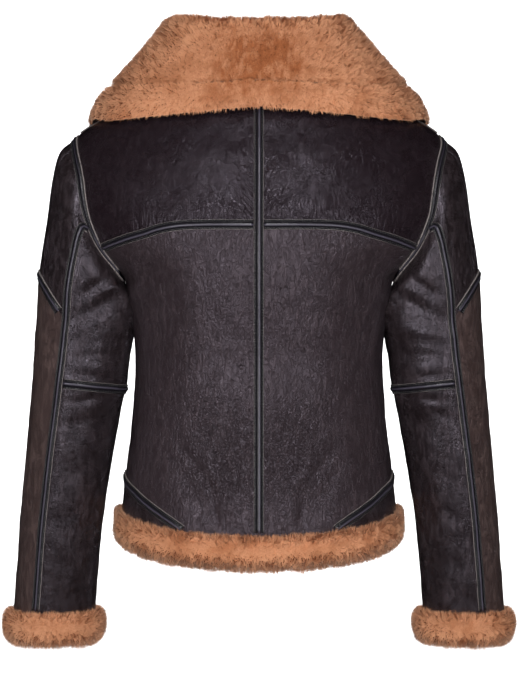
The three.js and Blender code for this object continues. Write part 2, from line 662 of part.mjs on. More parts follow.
function addSleeve() {
  const down = (rows, from, to, count) => stops(from, to, count).map((t) => [seamDeg(rows, t), t]);
  const turned = (line) => line.map(([deg, t]) => [deg - 360, t]);
  const ring = (from, to, count, shareAt) => stops(from, to, count).map((deg) => [deg, shareAt(deg)]);
  const armhole = (from, to) => ARMHOLE_STOPS.slice(from, to + 1).map((deg) => [deg, 0]);
  const back = { diagonal: crossing(BACK_SEAM, diagonalShare), elbow: crossing(BACK_SEAM, elbowShare) };
  const front = { diagonal: crossing(FRONT_SEAM, diagonalShare), elbow: crossing(FRONT_SEAM, elbowShare) };
  const cap = crossing(CAP_SEAM, diagonalShare);
  const { cap: capRows, patch, lower } = SLEEVE_ROWS;
  const backDeg = (t) => seamDeg(BACK_SEAM, t);
  const frontDeg = (t) => seamDeg(FRONT_SEAM, t);
  const capDeg = seamDeg(CAP_SEAM, cap);

  const backUpper = down(BACK_SEAM, 0, back.diagonal, capRows);
  const backPatch = down(BACK_SEAM, back.diagonal, back.elbow, patch);
  const backLower = down(BACK_SEAM, back.elbow, 1, lower);
  const frontUpper = down(FRONT_SEAM, 0, front.diagonal, capRows);
  const frontPatch = down(FRONT_SEAM, front.diagonal, front.elbow, patch);
  const frontLower = down(FRONT_SEAM, front.elbow, 1, lower);
  const capLine = down(CAP_SEAM, 0, cap, capRows);

  const diagonalBack = ring(capDeg, backDeg(back.diagonal), 5, diagonalShare);
  const diagonalFront = ring(frontDeg(front.diagonal) - 360, capDeg, 9, diagonalShare);
  const diagonalWhole = [...diagonalFront, ...diagonalBack.slice(1)];
  const elbow = ring(backDeg(back.elbow), frontDeg(front.elbow), 10, elbowShare);
  const cuffOuter = stops(frontDeg(1) - 360, backDeg(1), 14).map((deg) => [deg, 1]);
  const cuffUnder = stops(backDeg(1), frontDeg(1), 10).map((deg) => [deg, 1]);

  const capFrontStart = [...turned(armhole(STOP.frontSeam, STOP.top)), ...armhole(1, STOP.cap)];
  const capBackStart = armhole(STOP.cap, STOP.backSeam);
  const underStart = armhole(STOP.backSeam, STOP.frontSeam);

  addPair("sleeve_cap_back", panel(sleeve, capBackStart, diagonalBack, capLine, backUpper), LEATHER);
  addPair("sleeve_cap_front", panel(sleeve, capFrontStart, diagonalFront, turned(frontUpper), capLine), LEATHER);
  const outerFront = turned([...frontPatch, ...frontLower.slice(1)]);
  const outerBack = [...backPatch, ...backLower.slice(1)];
  addPair("sleeve_outer", panel(sleeve, diagonalWhole, cuffOuter, outerFront, outerBack), BROWN_LEATHER);
  const underBack = [...backUpper, ...backPatch.slice(1)];
  const underFront = [...frontUpper, ...frontPatch.slice(1)];
  addPair("sleeve_under_upper", panel(sleeve, underStart, elbow, underBack, underFront), LEATHER);
  addPair("sleeve_under_lower", panel(sleeve, elbow, cuffUnder, backLower, frontLower), LEATHER);

  const backWhole = [...backUpper, ...backPatch.slice(1), ...backLower.slice(1)];
  const beside = TAPE_HALF + SEAM_GAP;
  addPair("sleeve_tape", tape(sleeve, backWhole, ARMHOLE_TAPE_HALF + 7, 8, TAPE_HALF * 0.85), TAPE_LEATHER);
  addPair("diagonal_tape", tape(sleeve, diagonalWhole, 2, 15), TAPE_LEATHER);
  addPair("elbow_tape", tape(sleeve, elbow, beside, 2), TAPE_LEATHER);
  const cuffDegrees = [...cuffOuter, ...cuffUnder.slice(1, -1)].map(([deg]) => deg);
  addPair("cuff", throughRings(cuffDegrees.map(cuffRing), true), WOOL);
}

// The armhole's tape, from the front over the shoulder and down the back, half on the torso and half on the sleeve
function addArmholeTape() {
  const reach = 134;
  const layers = [TAPE_TOP, TAPE_LIFT].map((height) =>
    stops(-reach, reach, 22).map((deg) => {
      const turn = (deg + 360) % 360;
      const place = armholeOnTorso(turn);
      const next = torsoPoint(...armholeOnTorso((deg + 361) % 360));
      const way = next.sub(torsoPoint(...place)).normalize();
      const onTorso = aside(torso, place, way, ARMHOLE_TAPE_HALF);
      const torsoFrame = frameAt(torso, onTorso);
      const onSleeve = aside(sleeve, [deg, 2 * sleeve.steps[1]], way, -ARMHOLE_TAPE_HALF);
      const sleeveFrame = frameAt(sleeve, onSleeve);
      const rim = frameAt(torso, place).point;
      const out = inwardAt(rim, torsoFrame.normal).negate();
      return [
        sleeveFrame.point.addScaledVector(sleeveFrame.normal, height),
        rim.addScaledVector(out, height + 0.5),
        torsoFrame.point.addScaledVector(torsoFrame.normal, height),
      ];
    }),
  );
  addPair("armhole_tape", closedGrid(...layers), TAPE_LEATHER);
}

// Rings of an outline carried round an edge: each gets a point, a way out and a way up
const carried = (outline, { point, out, up }) =>
  outline.map(([o, u]) => point.clone().addScaledVector(out, o).addScaledVector(up, u));

function hemRing(angle) {
  const { point, normal } = frameAt(torso, [angle, hemHeight(angle)]);
  const out = new THREE.Vector3(normal.x, normal.y, 0).normalize();
  return carried(HEM_ROLL, { point, out, up: new THREE.Vector3(0, 0, 1) });
}

function cuffRing(deg) {
  const { point, normal } = frameAt(sleeve, [deg, 1]);
  const out = new THREE.Vector3(normal.x, normal.y, 0).normalize();
  return carried(CUFF_ROLL, { point, out, up: new THREE.Vector3(0, 0, 1) }).reverse();
}

function addHem() {
  const half = [...hemMiddle, ...hipSeam.slice(1)].map(([angle]) => angle);
  const back = [...half.slice(1).reverse().map((angle) => -angle), ...half];
  add("hem_back", throughRings(back.map(hemRing), false), WOOL);
  const front = hemFront.map(([angle]) => angle);
  front[0] += SEAM_GAP / 160;
  front[front.length - 1] = angleAt(HEM_FRONT_HALF, hemHeight(Math.PI), true);
  addPair("hem_front", throughRings(front.map(hemRing), false), WOOL);
}

// The collar's leather side: -1 to 1 from the left front end to the right one, and 0 to 1 from neck to edge
function collarLeather(side, across) {
  const s = Math.abs(side);
  const turn = side < 0 ? -1 : 1;
  const get = (name) => smooth(COLLAR, "s", name, s);
  const neck = torsoPoint(...neckPlace(s));
  neck.z += COLLAR_RISE;
  const fold = new THREE.Vector3(get("foldX"), get("foldY"), get("foldZ"));
  const edge = new THREE.Vector3(get("edgeX"), get("edgeY"), get("edgeZ"));
  const out = edge.clone().sub(neck).setZ(0).normalize();
  const inside = fold.clone().addScaledVector(out, -COLLAR_FOLD);
  inside.z -= COLLAR_FOLD;
  const outside = fold.clone().addScaledVector(out, COLLAR_FOLD);
  outside.z -= COLLAR_FOLD;
  const bulge = outside.clone().lerp(edge, 0.5).addScaledVector(out, COLLAR_BULGE);
  bulge.z += COLLAR_BULGE / 2;
  const middle = neck.clone().lerp(inside, 0.5);
  const path = [neck, middle, inside, fold, outside, bulge, edge];
  const shares = [0, 0.17, 0.34, 0.39, 0.44, 0.72, 1];
  const rows = path.map((p, i) => ({ w: shares[i], x: p.x, y: p.y, z: p.z }));
  const along = (name) => smooth(rows, "w", name, across);
  return new THREE.Vector3(turn * along("x"), along("y"), along("z"));
}

const collar = { at: collarLeather, steps: [2e-3, 2e-3] };

// A strip of the collar between two shares of its width. The wool is thinner at the outer edge.
function collarStrip(from, to, rows) {
  const end = 0.999;
  const sides = stops(-end, end, 2 * COLLAR_STEPS);
  const places = stops(from, to, rows).map((w) => sides.map((s) => [s, w]).reverse());
  const leather = places.map((row) => row.map((place) => collarLeather(...place)));
  const wool = places.map((row) =>
    row.map((place) => {
      const { point, normal } = frameAt(collar, place);
      const rounded = Math.sqrt(Math.max(0.08, 1 - Math.max(0, (place[1] - 0.86) / 0.14) ** 2));
      return point.addScaledVector(normal, -COLLAR_WOOL * rounded);
    }),
  );
  return closedGrid(wool, leather);
}

function addCollar() {
  const gap = 0.003; // of the collar's width
  add("collar", collarStrip(0, COLLAR_SEAM - gap, 11), WOOL);
  add("collar_edge", collarStrip(COLLAR_SEAM + gap, 1, 4), WOOL);
}

// A prism with a flat outline in the Y-Z plane, between two distances across
function prism(outline, from, to) {
  const shape = new THREE.Shape(outline.map(([y, z]) => new THREE.Vector2(y, z)));
  const made = new THREE.ExtrudeGeometry(shape, { depth: to - from, bevelEnabled: false });
  const turn = new THREE.Matrix4().makeBasis(
    new THREE.Vector3(0, 1, 0),
    new THREE.Vector3(0, 0, 1),
    new THREE.Vector3(1, 0, 0),
  );
  return made.applyMatrix4(turn).translate(from, 0, 0);
}

function addZip() {
  const places = stops(ZIP.bottom, ZIP.top, ZIP.steps).map((z) =>
    [ZIP.tapeOut, ZIP.tapeIn].map((x) => [angleAt(x, z, true), z]),
  );
  addPair("zip_tape", wall(torso, places, ZIP.back, ZIP.face), ZIP_CLOTH);

  // The slider and its pull lie along the slope of the chest.
  const slope = frameAt(torso, [Math.PI, SLIDER.z]);
  const group = new THREE.Group();
  group.position.copy(slope.point);
  group.rotation.x = Math.atan2(slope.normal.z, slope.normal.y);
  jacket.add(group);
  group.add(named("zip_slider", sliderShape(), ZIP_METAL));
  group.add(named("zip_pull", pullShape(), ZIP_METAL));
}

function named(name, geometry, material) {
  const mesh = new THREE.Mesh(geometry, material);
  mesh.name = name;
  return mesh;
}

// The slider's outline from the front, with its ears behind the same face, as one swept solid
function sliderShape() {
  const { halfWidth, halfHeight, back, face, taper } = SLIDER;
  const section = (y, grow) => [
    new THREE.Vector3(-halfWidth * taper * grow, y, -halfHeight * grow),
    new THREE.Vector3(halfWidth * taper * grow, y, -halfHeight * grow),
    new THREE.Vector3(halfWidth * grow, y, 0),
    new THREE.Vector3(halfWidth * taper * grow, y, halfHeight * grow),
    new THREE.Vector3(-halfWidth * taper * grow, y, halfHeight * grow),
    new THREE.Vector3(-halfWidth * grow, y, 0),
  ];
  const body = throughRings([section(face, 0.82), section(face - 0.8, 1), section(back, 1)], false);
  const ear = [
    [face - 1, -EAR.halfHeight],
    [face + EAR.reach, -EAR.halfHeight],
    [face + EAR.reach, EAR.halfHeight],
    [face - 1, EAR.halfHeight],
  ];
  return joined([body, prism(ear, EAR.inner, EAR.outer), prism(ear, -EAR.outer, -EAR.inner)]);
}

// The pull: a barrel between the ears, a narrow neck and a flat tab hanging from it
function pullShape() {
  const { axisOut, barrelRadius, barrelHalf, neck, halfWidth, length, half } = PULL;
  const barrel = stops(0, 360, 8).slice(1).map((deg) => [
    axisOut + barrelRadius * Math.cos((deg + 22.5) * DEG),
    barrelRadius * Math.sin((deg + 22.5) * DEG),
  ]);
  const plate = (from, to, across) =>
    prism([[axisOut - half, from], [axisOut + half, from], [axisOut + half, to], [axisOut - half, to]], -across, across);
  return joined([
    prism(barrel, -barrelHalf, barrelHalf),
    plate(-neck - 0.5, 0, barrelHalf),
    plate(-length, -neck, halfWidth),
  ]);
}

// Several closed shapes joined into one solid
function joined(shapes) {
  const solids = shapes.map((shape) => {
    const bare = shape.clone();
    bare.deleteAttribute("normal");
    bare.deleteAttribute("uv");
    const merged = mergeVertices(bare, 1e-4);
    return new wasm.Manifold(
      new wasm.Mesh({
        numProp: 3,
        vertProperties: merged.attributes.position.array,
        triVerts: new Uint32Array(merged.index.array),
      }),
    );
  });
  const mesh = solids.reduce((whole, next) => whole.add(next)).getMesh();
  const geometry = new THREE.BufferGeometry();
  geometry.setAttribute("position", new THREE.BufferAttribute(mesh.vertProperties, 3));
  geometry.setIndex(new THREE.BufferAttribute(mesh.triVerts, 1));
  return geometry;
}

addBack();
addFront();
addSleeve();
addArmholeTape();
addHem();
addCollar();
addZip();

export default jacket;
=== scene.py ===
"""A sheepskin flying jacket, filled out as worn: leather with taped seams, and a wool collar, hem and cuffs.

Sizes are in millimetres, as in the part's source, and become metres where a mesh is made.
The back faces -Y and the zipped front faces +Y, so +X is the wearer's right.
"""
import functools
import math

import bmesh
import bpy
import numpy as np
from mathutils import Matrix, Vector


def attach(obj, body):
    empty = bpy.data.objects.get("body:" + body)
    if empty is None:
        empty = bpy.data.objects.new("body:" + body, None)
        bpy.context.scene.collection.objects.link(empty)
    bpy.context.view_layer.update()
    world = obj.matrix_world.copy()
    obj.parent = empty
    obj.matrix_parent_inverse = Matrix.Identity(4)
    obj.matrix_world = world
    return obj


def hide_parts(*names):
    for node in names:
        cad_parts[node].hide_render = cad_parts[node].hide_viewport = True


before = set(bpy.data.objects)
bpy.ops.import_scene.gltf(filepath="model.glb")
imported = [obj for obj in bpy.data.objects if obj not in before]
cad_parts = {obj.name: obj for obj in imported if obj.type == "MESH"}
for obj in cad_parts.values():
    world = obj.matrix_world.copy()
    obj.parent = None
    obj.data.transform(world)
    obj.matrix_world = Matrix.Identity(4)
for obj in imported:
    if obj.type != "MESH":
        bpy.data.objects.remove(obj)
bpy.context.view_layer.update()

MM = 0.001
SIDES = {"right": 1, "left": -1}
QUARTER = math.pi / 2

# Walls, seams and tapes
SKIN = 4.5  # leather with the clipped wool inside
SEAM_GAP = 0.3
SEAM_DIP = 1.3  # how far leather turns in at a seam with no tape
SEAM_DIP_HALF = 1.7
CELL = 3.5  # of the leather's meshes
FRONT_CELL = 4.4
DENSE = 8  # places along a line for each of its steps
PROBES = 25  # lines each way along which a panel is measured
RELAXED = 72  # cells each way of a front's evened grid
RELAX_ROUNDS = 1500
TORSO_SCALE = np.array([130.0, 1.0])  # millimetres to a radian round the torso, and to one of height
TORSO_STEPS = (8e-3, 0.9)  # between the points that give a surface's normal
SLEEVE_STEPS = (1.0, 1.6e-3)
COLLAR_STEPS = (2e-3, 2e-3)
TAPE_HALF = 5.6
ARMHOLE_TAPE_HALF = 4.6
TAPE_STEP = 3.0
STITCH_PITCH = 3.3
STITCH_OUT = 3.7  # from the tape's middle to each row of stitches
STITCH_HEIGHTS = (0.75, 1.75)  # of the tape's groove, and of a point over it
STITCH = {"half": 1.35, "shoulder": 0.8, "thick": 0.42, "slant": 0.22, "lift": 0.1, "sunk": 0.3}
TAPE_PROFILE = [  # across from the middle, and height over the leather
    (-5.6, 0.1), (-5.5, 1.3), (-5.0, 1.55), (-4.4, 1.2), (-3.8, 0.75), (-3.2, 1.0), (-2.4, 1.8), (-1.0, 2.35),
    (0.4, 2.6), (1.6, 2.4), (2.5, 1.8), (3.2, 1.0), (3.8, 0.75), (4.4, 1.2), (5.0, 1.55), (5.5, 1.3),
    (5.6, 0.1), (5.6, -0.4), (-5.6, -0.4),
]
ARMHOLE_TAPE = {"reach": 164, "rings": 160, "blend": 1.4, "ridge": 1.6, "lift": 0.4}


def table(names, *rows):
    """Named columns from rows of numbers."""
    return dict(zip(names.split(), np.array(rows, float).T))


# The torso's sections: half width, and depth behind and in front of the side seams
SECTION_POWER = 2.2
TORSO = table(
    "z half_width back front",
    (-560, 166, 120, 117),
    (-494, 160, 118, 116),
    (-439, 154, 114, 113),
    (-400, 149, 111, 111),
    (-327, 144.5, 108, 110),
    (-280, 147.5, 112, 116),
    (-250, 154, 115, 120),
    (-226, 158, 117, 122),
    (-190, 195, 117, 122),
    (-150, 220, 114, 119),
    (-100, 224, 106, 111),
    (-63, 213, 95, 100),
    (-42, 183, 88, 92),
    (-25, 143, 79, 82),
    (-12, 108, 72, 70),
    (0, 79, 67, 60),
)
HEM = {"side": -494, "half_width": 160, "back_dip": 26, "front_dip": 16, "power": 1.2}
SHOULDER_SEAM = [0, -10, -22, -35, -49, -63]
UNDERARM_Z = -226
ZIP_HALF = 5.5

NECK_BACK = [(0, -6), (20, -5.8), (38, -5.2), (53, -4.2), (65, -3), (73, -1.8), (77.5, -0.7), (79, 0)]
NECK_FRONT = [(79.5, -2.5), (78.5, -6.5), (76, -15), (69, -33), (56, -53), (39, -72), (22, -87), (5.5, -96)]

YOKE_SEAM = [(0, -170), (22, -170), (31, -173.5), (38, -179), (48, -185), (58, -190)]
HIP_START = 29
HIP_CUT = 0.35
HIP_SEAM = [(33, -508), (39, -499), (47.6, -488), (60, -474), (75, -463), (90, -455)]

# Armhole: an oval seen from the side, laid on the torso. 0 is the shoulder, 90 the back, 180 the underarm.
ARMHOLE = {"top": -63, "bottom": -226, "half_back": 56, "half_front": 58}
ARMHOLE_YOKE = 127
STOPS = table("stop deg", (0, 0), (8, ARMHOLE_YOKE), (12, 180), (24, 360))
STOP = {"cap": 2, "back_seam": 7, "yoke": 8, "underarm": 12, "front_seam": 17, "top": 24}

SLEEVE = table(
    "t out_x out_z in_x in_z mid_y half_depth",
    (0, 213, -63, 157, -226, 0, 56),
    (0.06, 232, -79, 156.8, -229, 0, 58),
    (0.12, 241, -112, 156.2, -234, 0, 60),
    (0.2, 248, -160, 154.4, -243, 1, 61),
    (0.3, 257, -218, 151.8, -261, 2, 60),
    (0.4, 261, -275, 149.4, -297, 4, 57),
    (0.52, 266, -342, 154.6, -349, 7, 54),
    (0.66, 273, -420, 169.5, -422, 12, 51),
    (0.82, 282, -516, 184.5, -516, 18, 48),
    (1, 290, -620, 194, -620, 26, 47),
)
SLEEVE_FADE = 0.24
SLEEVE_GIRTH = 52  # its mean radius
BACK_SEAM = table(
    "t deg", (0, 111.125), (0.12, 91), (0.2, 80), (0.3, 75.5), (0.45, 71), (0.6, 69), (1, 68)
)
FRONT_SEAM = table("t deg", (0, 255), (0.2, 272), (0.45, 284), (1, 286))
CAP_SEAM = table("t deg", (0, 31.75), (0.2, 30), (1, 28))
DIAGONAL = {"outer_z": -221, "drop": 80}
ELBOW = {"z": -350, "tilt": 6}
SLEEVE_ROWS = {"cap": 8, "patch": 3, "lower": 6}

# Folds pressed in: place, half length and half width along it, turn from upright, depth, and whose side
TORSO_FOLDS = [
    # x, z, side, long, wide, turn, depth, hand
    (62, -478, "back", 70, 17, 28, 3.2, "both"),
    (44, -425, "back", 60, 19, 38, 2.6, "both"),
    (118, -300, "back", 70, 20, -8, 3.0, "both"),
    (112, -338, "front", 55, 20, 30, 3.0, "both"),
    (60, -455, "front", 70, 20, -24, 2.6, "both"),
    (71, -441, "back", 30, 5.5, 37, 2.8, "both"),
    (50, -492, "back", 26, 5.0, 4, 2.0, "both"),
    (84, -455, "back", 30, 5.5, 33, 1.8, "both"),
    (31, -371, "back", 24, 5.0, -75, 1.5, "both"),
    (30, -393, "back", 28, 5.5, -36, 1.6, "both"),
    (58, -396, "back", 22, 5.0, -20, 0.7, "right"),
    (64, -402, "back", 24, 5.0, -14, 0.7, "left"),
    (38, -446, "back", 18, 5.0, 24, 1.5, "both"),
    (92, -392, "back", 34, 6.0, 6, 0.6, "both"),
    (104, -240, "back", 40, 7.0, 10, 1.0, "both"),
    (126, -262, "back", 34, 6.0, -12, 1.1, "right"),
    (122, -256, "back", 36, 6.5, -16, 1.1, "left"),
    (136, -250, "back", 26, 6.0, -34, 2.2, "both"),
    (132, -214, "back", 16, 5.5, 40, 2.2, "both"),
    (140, -322, "back", 24, 6.0, -20, 0.9, "both"),
    (150, -392, "back", 26, 7.0, 74, 0.8, "both"),
    (118, -432, "back", 34, 8.0, -30, 0.8, "both"),
    (46, -196, "back", 14, 7.0, 4, 0.5, "both"),
    (74, -198, "back", 16, 7.0, -3, 0.5, "both"),
    (88, -300, "front", 40, 8.0, 24, 1.2, "right"),
    (96, -320, "front", 40, 8.0, 20, 1.2, "left"),
    (46, -410, "front", 34, 7.0, -40, 1.0, "both"),
    (92, -470, "front", 30, 6.0, 26, 1.2, "both"),
    (126, -236, "front", 34, 7.0, 22, 1.4, "both"),
    (60, -250, "front", 46, 9.0, 12, 0.9, "right"),
    (54, -262, "front", 40, 9.0, 16, 0.9, "left"),
    (132, -410, "front", 30, 7.0, -50, 0.9, "both"),
]
SLEEVE_FOLDS = [
    # deg, z, long, wide, turn, depth, hand
    (118, -262, 40, 12, 66, 4.4, "both"),
    (124, -300, 42, 13, 80, 2.6, "both"),
    (140, -392, 36, 15, 78, 2.6, "both"),
    (228, -330, 44, 14, -76, 3.4, "both"),
    (236, -372, 40, 14, -82, 2.8, "both"),
    (46, -430, 50, 15, 12, 2.0, "both"),
    (108, -238, 26, 5.0, 58, 2.6, "both"),
    (132, -246, 26, 5.5, 50, 3.0, "both"),
    (116, -279, 26, 5.0, 76, 2.2, "right"),
    (120, -283, 28, 5.0, 70, 2.2, "left"),
    (100, -318, 20, 5.0, 84, 1.4, "both"),
    (134, -316, 26, 5.5, 86, 1.9, "both"),
    (112, -340, 22, 4.0, 96, 0.9, "both"),
    (118, -366, 26, 5.0, 82, 1.5, "both"),
    (98, -384, 20, 5.0, 72, 0.8, "right"),
    (102, -392, 22, 5.0, 76, 0.8, "left"),
    (128, -426, 24, 5.0, 70, 0.9, "both"),
    (96, -460, 26, 7.0, 60, 0.7, "both"),
    (110, -500, 26, 7.0, 76, 0.8, "both"),
    (120, -556, 24, 6.0, 84, 0.8, "both"),
    (50, -300, 24, 7.0, 20, 0.9, "both"),
    (30, -330, 24, 6.0, 70, 0.8, "both"),
    (36, -352, 22, 5.0, 84, 0.9, "both"),
    (20, -392, 28, 8.0, 60, 0.8, "both"),
    (40, -500, 34, 9.0, 10, 0.9, "both"),
    (58, -560, 30, 8.0, 24, 0.9, "both"),
    (14, -566, 30, 8.0, -20, 0.8, "both"),
    (344, -300, 34, 9.0, -30, 1.0, "both"),
    (330, -356, 30, 8.0, -70, 1.1, "both"),
    (318, -420, 32, 8.0, -60, 1.0, "both"),
    (262, -270, 30, 7.0, -60, 1.4, "both"),
    (250, -296, 34, 7.0, -72, 1.4, "both"),
    (256, -345, 30, 6.0, -84, 1.2, "both"),
    (244, -410, 30, 7.0, -70, 1.1, "both"),
    (262, -480, 34, 9.0, -60, 0.9, "both"),
    (60, -120, 30, 9.0, -10, 0.9, "both"),
    (300, -150, 34, 10.0, 16, 1.0, "both"),
    (182, -250, 44, 36, 0, -6.0, "both"),
    (146, -264, 18, 5.5, -34, 2.8, "both"),
    (158, -284, 18, 5.5, -52, 2.2, "both"),
    (100, -250, 15, 5.0, 14, 2.0, "both"),
    (88, -244, 15, 4.5, -8, 1.6, "both"),
    (154, -254, 42, 22, 0, -9.0, "both"),
    (136, -232, 22, 6, 30, -3.0, "both"),
]
FOLD_FADE = 40
LUMPS = {"soft": (30, 0.24), "small": (11, 0.07)}  # wave length and depth of the leather's unevenness

# Collar, from the middle of the back to its front end: leather points on the fold and on the outer edge
COLLAR = table(
    "s fold_x fold_y fold_z edge_x edge_y edge_z",
    (0, 0, -82, 53, 0, -97, -36),
    (0.13, 44, -77, 54, 62, -94.5, -41),
    (0.26, 81, -56, 59, 121, -83, -46),
    (0.38, 98, -20, 63, 169, -57, -48),
    (0.5, 99, 18, 53, 194, 0, -41),
    (0.63, 90, 55, 28, 192, 55, -57),
    (0.76, 66, 87, -8, 160, 97, -92),
    (0.88, 41, 108, -46, 114, 117, -131),
    (1, 19, 119, -78, 64, 127, -160),
)
COLLAR_SHARES = [0, 0.17, 0.34, 0.39, 0.44, 0.72, 1]
COLLAR_WOOL = 15
COLLAR_SEAM = 0.81
COLLAR_FOLD = 5
COLLAR_RISE = 0.6
COLLAR_BULGE = 2.5
COLLAR_END = 0.999

# Outlines of the rolled wool bands, from the leather's edge: outwards, then up
HEM_ROLL = [
    (-8, -0.9), (0.5, -0.9), (0.7, 3), (5, 4.5), (8.6, 0), (9.6, -14),
    (8.6, -28), (2, -38), (-7, -37.5), (-10.5, -27), (-10.5, -9),
]
CUFF_ROLL = [
    (-7.5, -1.2), (0.5, -1.2), (0.7, 3.5), (5, 6), (10.5, 2), (13.5, -9),
    (12, -23), (6, -34), (-4, -37), (-11, -30), (-13, -18), (-12, -6),
]
HEM_FRONT_HALF = 0.2

# Wool: fibres that lean together in locks
PILE_WIDTH = 0.8
PILE_DENSITY = 1.45  # fibres to a square millimetre
HIDDEN_DENSITY = 0.75  # inside the collar's fold
HIDDEN_SHARE = 0.36
LEAN = {"nap": 0.32, "swirl": 0.30, "fine": 0.26, "random": 0.46}
LOCK = 10.0  # width of two locks
LOCK_SEED = 40
ROLL_CORE = 0.72  # share of a roll that is skin and root, under the fibres
ROLL_STEP = 5.0
ROLL_AROUND = {"rings": 30, "wool": 45}
COLLAR_ALONG = {"rings": 210, "wool": 300}
COLLAR_FRINGE = 5.0  # fibres at the collar's outer edge reach past it
COLLAR_ROOT = 0.62  # share of the wool's height where its fibres start to show
COLLAR_SEAM_HALF = 0.003

ZIP_TOOTH = {"pitch": 2.9, "half": 0.72, "taper": 0.75, "low": -505.0, "high": -100.0}

# The photograph's frame, and where the jacket lies in it
PHOTO_MM = 1.17  # of the side seams' plane, to a pixel
PHOTO = {"width": 525, "height": 688, "axis_x": 259, "neck_y": 85}
CAMERA_AWAY = 2.4


def smooth(rows, axis, column, at):
    """A smooth value of one column of a table, at places along another that rises."""
    x, y = rows[axis], rows[column]
    at = np.asarray(at, float)
    slope = np.empty_like(y)
    slope[1:-1] = (y[2:] - y[:-2]) / (x[2:] - x[:-2])
    slope[0] = (y[1] - y[0]) / (x[1] - x[0])
    slope[-1] = (y[-1] - y[-2]) / (x[-1] - x[-2])
    i = np.clip(np.searchsorted(x, at) - 1, 0, len(x) - 2)
    span = x[i + 1] - x[i]
    f = np.clip((at - x[i]) / span, 0, 1)
    f2, f3 = f**2, f**3
    value = (2 * f3 - 3 * f2 + 1) * y[i] + (f3 - 2 * f2 + f) * span * slope[i]
    value += (3 * f2 - 2 * f3) * y[i + 1] + (f3 - f2) * span * slope[i + 1]
    return value + slope[0] * np.minimum(0, at - x[0]) + slope[-1] * np.maximum(0, at - x[-1])


def ease(f):
    f = np.clip(f, 0, 1)
    return f * f * (3 - 2 * f)


def unit(vectors):
    return vectors / np.maximum(np.linalg.norm(vectors, axis=-1, keepdims=True), 1e-9)


def waves(points, length, seed, count=9):
    """A gentle random value at each point, that changes over about a length."""
    rng = np.random.default_rng(seed)
    ways = unit(rng.normal(size=(count, 3))) * rng.uniform(0.7, 1.4, (count, 1)) * math.tau / length
    phase = rng.uniform(0, math.tau, count)
    return np.sin(points @ ways.T + phase).sum(-1) / (1.5 * math.sqrt(count / 2))


def pressed(across, up, long, wide, turn, depth):
    """How far one fold presses in, at distances across and up from its middle."""
    turn = math.radians(turn)
    along = up * math.cos(turn) + across * math.sin(turn)
    aside_of = across * math.cos(turn) - up * math.sin(turn)
    return depth * np.exp(-((along / long) ** 2) - (aside_of / wide) ** 2)


def torso_form(angle, z):
    half = smooth(TORSO, "z", "half_width", z)
    c, s = np.cos(angle), np.sin(angle)
    depth = np.where(c > 0, smooth(TORSO, "z", "back", z), smooth(TORSO, "z", "front", z))
    r = (np.abs(s) ** SECTION_POWER + np.abs(c) ** SECTION_POWER) ** (-1 / SECTION_POWER)
    return np.stack(np.broadcast_arrays(half * r * s, -depth * r * c, z), -1)


def lumps(points, side):
    mirrored = points * [side, 1, 1]
    return sum(depth * waves(mirrored, length, 7) for length, depth in LUMPS.values())


def torso_skin(angle, z, side=1):
    """The torso's leather on the right, with folds and unevenness as on the given side."""
    p = torso_form(angle, z)
    x, y = p[..., 0], p[..., 1]
    inward = 0
    for fold_x, fold_z, face, long, wide, turn, depth, hand in TORSO_FOLDS:
        if hand in ("both", "right" if side > 0 else "left"):
            there = (y < 0) if face == "back" else (y >= 0)
            inward = inward + there * pressed(np.abs(x) - fold_x, p[..., 2] - fold_z, long, wide, turn, depth)
    inward = inward * ease(np.abs(x) / FOLD_FADE) * ease(np.abs(y) / FOLD_FADE) - lumps(p, side)
    share = 1 - inward / np.hypot(x, y)
    return p * np.stack([share, share, np.ones_like(share)], -1)


def armhole_on_torso(deg):
    """A point of the armhole as the torso's angle and height."""
    c, s = np.cos(np.radians(deg)), np.sin(np.radians(deg))
    z = (ARMHOLE["top"] + ARMHOLE["bottom"]) / 2 + c * (ARMHOLE["top"] - ARMHOLE["bottom"]) / 2
    y = -s * np.where(s > 0, ARMHOLE["half_back"], ARMHOLE["half_front"])
    depth = np.where(y < 0, smooth(TORSO, "z", "back", z), smooth(TORSO, "z", "front", z))
    across = (1 - (np.abs(y) / depth) ** SECTION_POWER) ** (1 / SECTION_POWER)
    return np.arctan2(across, -y / depth), z


def sleeve_oval(deg, t):
    c = np.cos(np.radians(deg))
    out_x, out_z = smooth(SLEEVE, "t", "out_x", t), smooth(SLEEVE, "t", "out_z", t)
    in_x, in_z = smooth(SLEEVE, "t", "in_x", t), smooth(SLEEVE, "t", "in_z", t)
    y = smooth(SLEEVE, "t", "mid_y", t) - smooth(SLEEVE, "t", "half_depth", t) * np.sin(np.radians(deg))
    x = (out_x + in_x) / 2 + c * (out_x - in_x) / 2
    z = (out_z + in_z) / 2 + c * (out_z - in_z) / 2
    return np.stack(np.broadcast_arrays(x, y, z), -1)


def sleeve_skin(deg, t, side=1):
    p = sleeve_oval(deg, t)
    fade = 1 - ease(np.asarray(t) / SLEEVE_FADE)
    start = torso_skin(*armhole_on_torso(np.mod(deg, 360)), side)
    p = p + (start - sleeve_oval(deg, 0)) * fade[..., None]
    inward = 0
    for fold_deg, fold_z, long, wide, turn, depth, hand in SLEEVE_FOLDS:
        if hand in ("both", "right" if side > 0 else "left"):
            around = np.radians(np.mod(deg - fold_deg + 180, 360) - 180) * SLEEVE_GIRTH
            inward = inward + pressed(around, p[..., 2] - fold_z, long, wide, turn, depth)
    inward = (inward - lumps(p, side)) * (1 - fade)
    middle = (sleeve_oval(deg, t) + sleeve_oval(deg + 180, t)) / 2
    return p + (middle - p) * (inward / SLEEVE_GIRTH)[..., None]


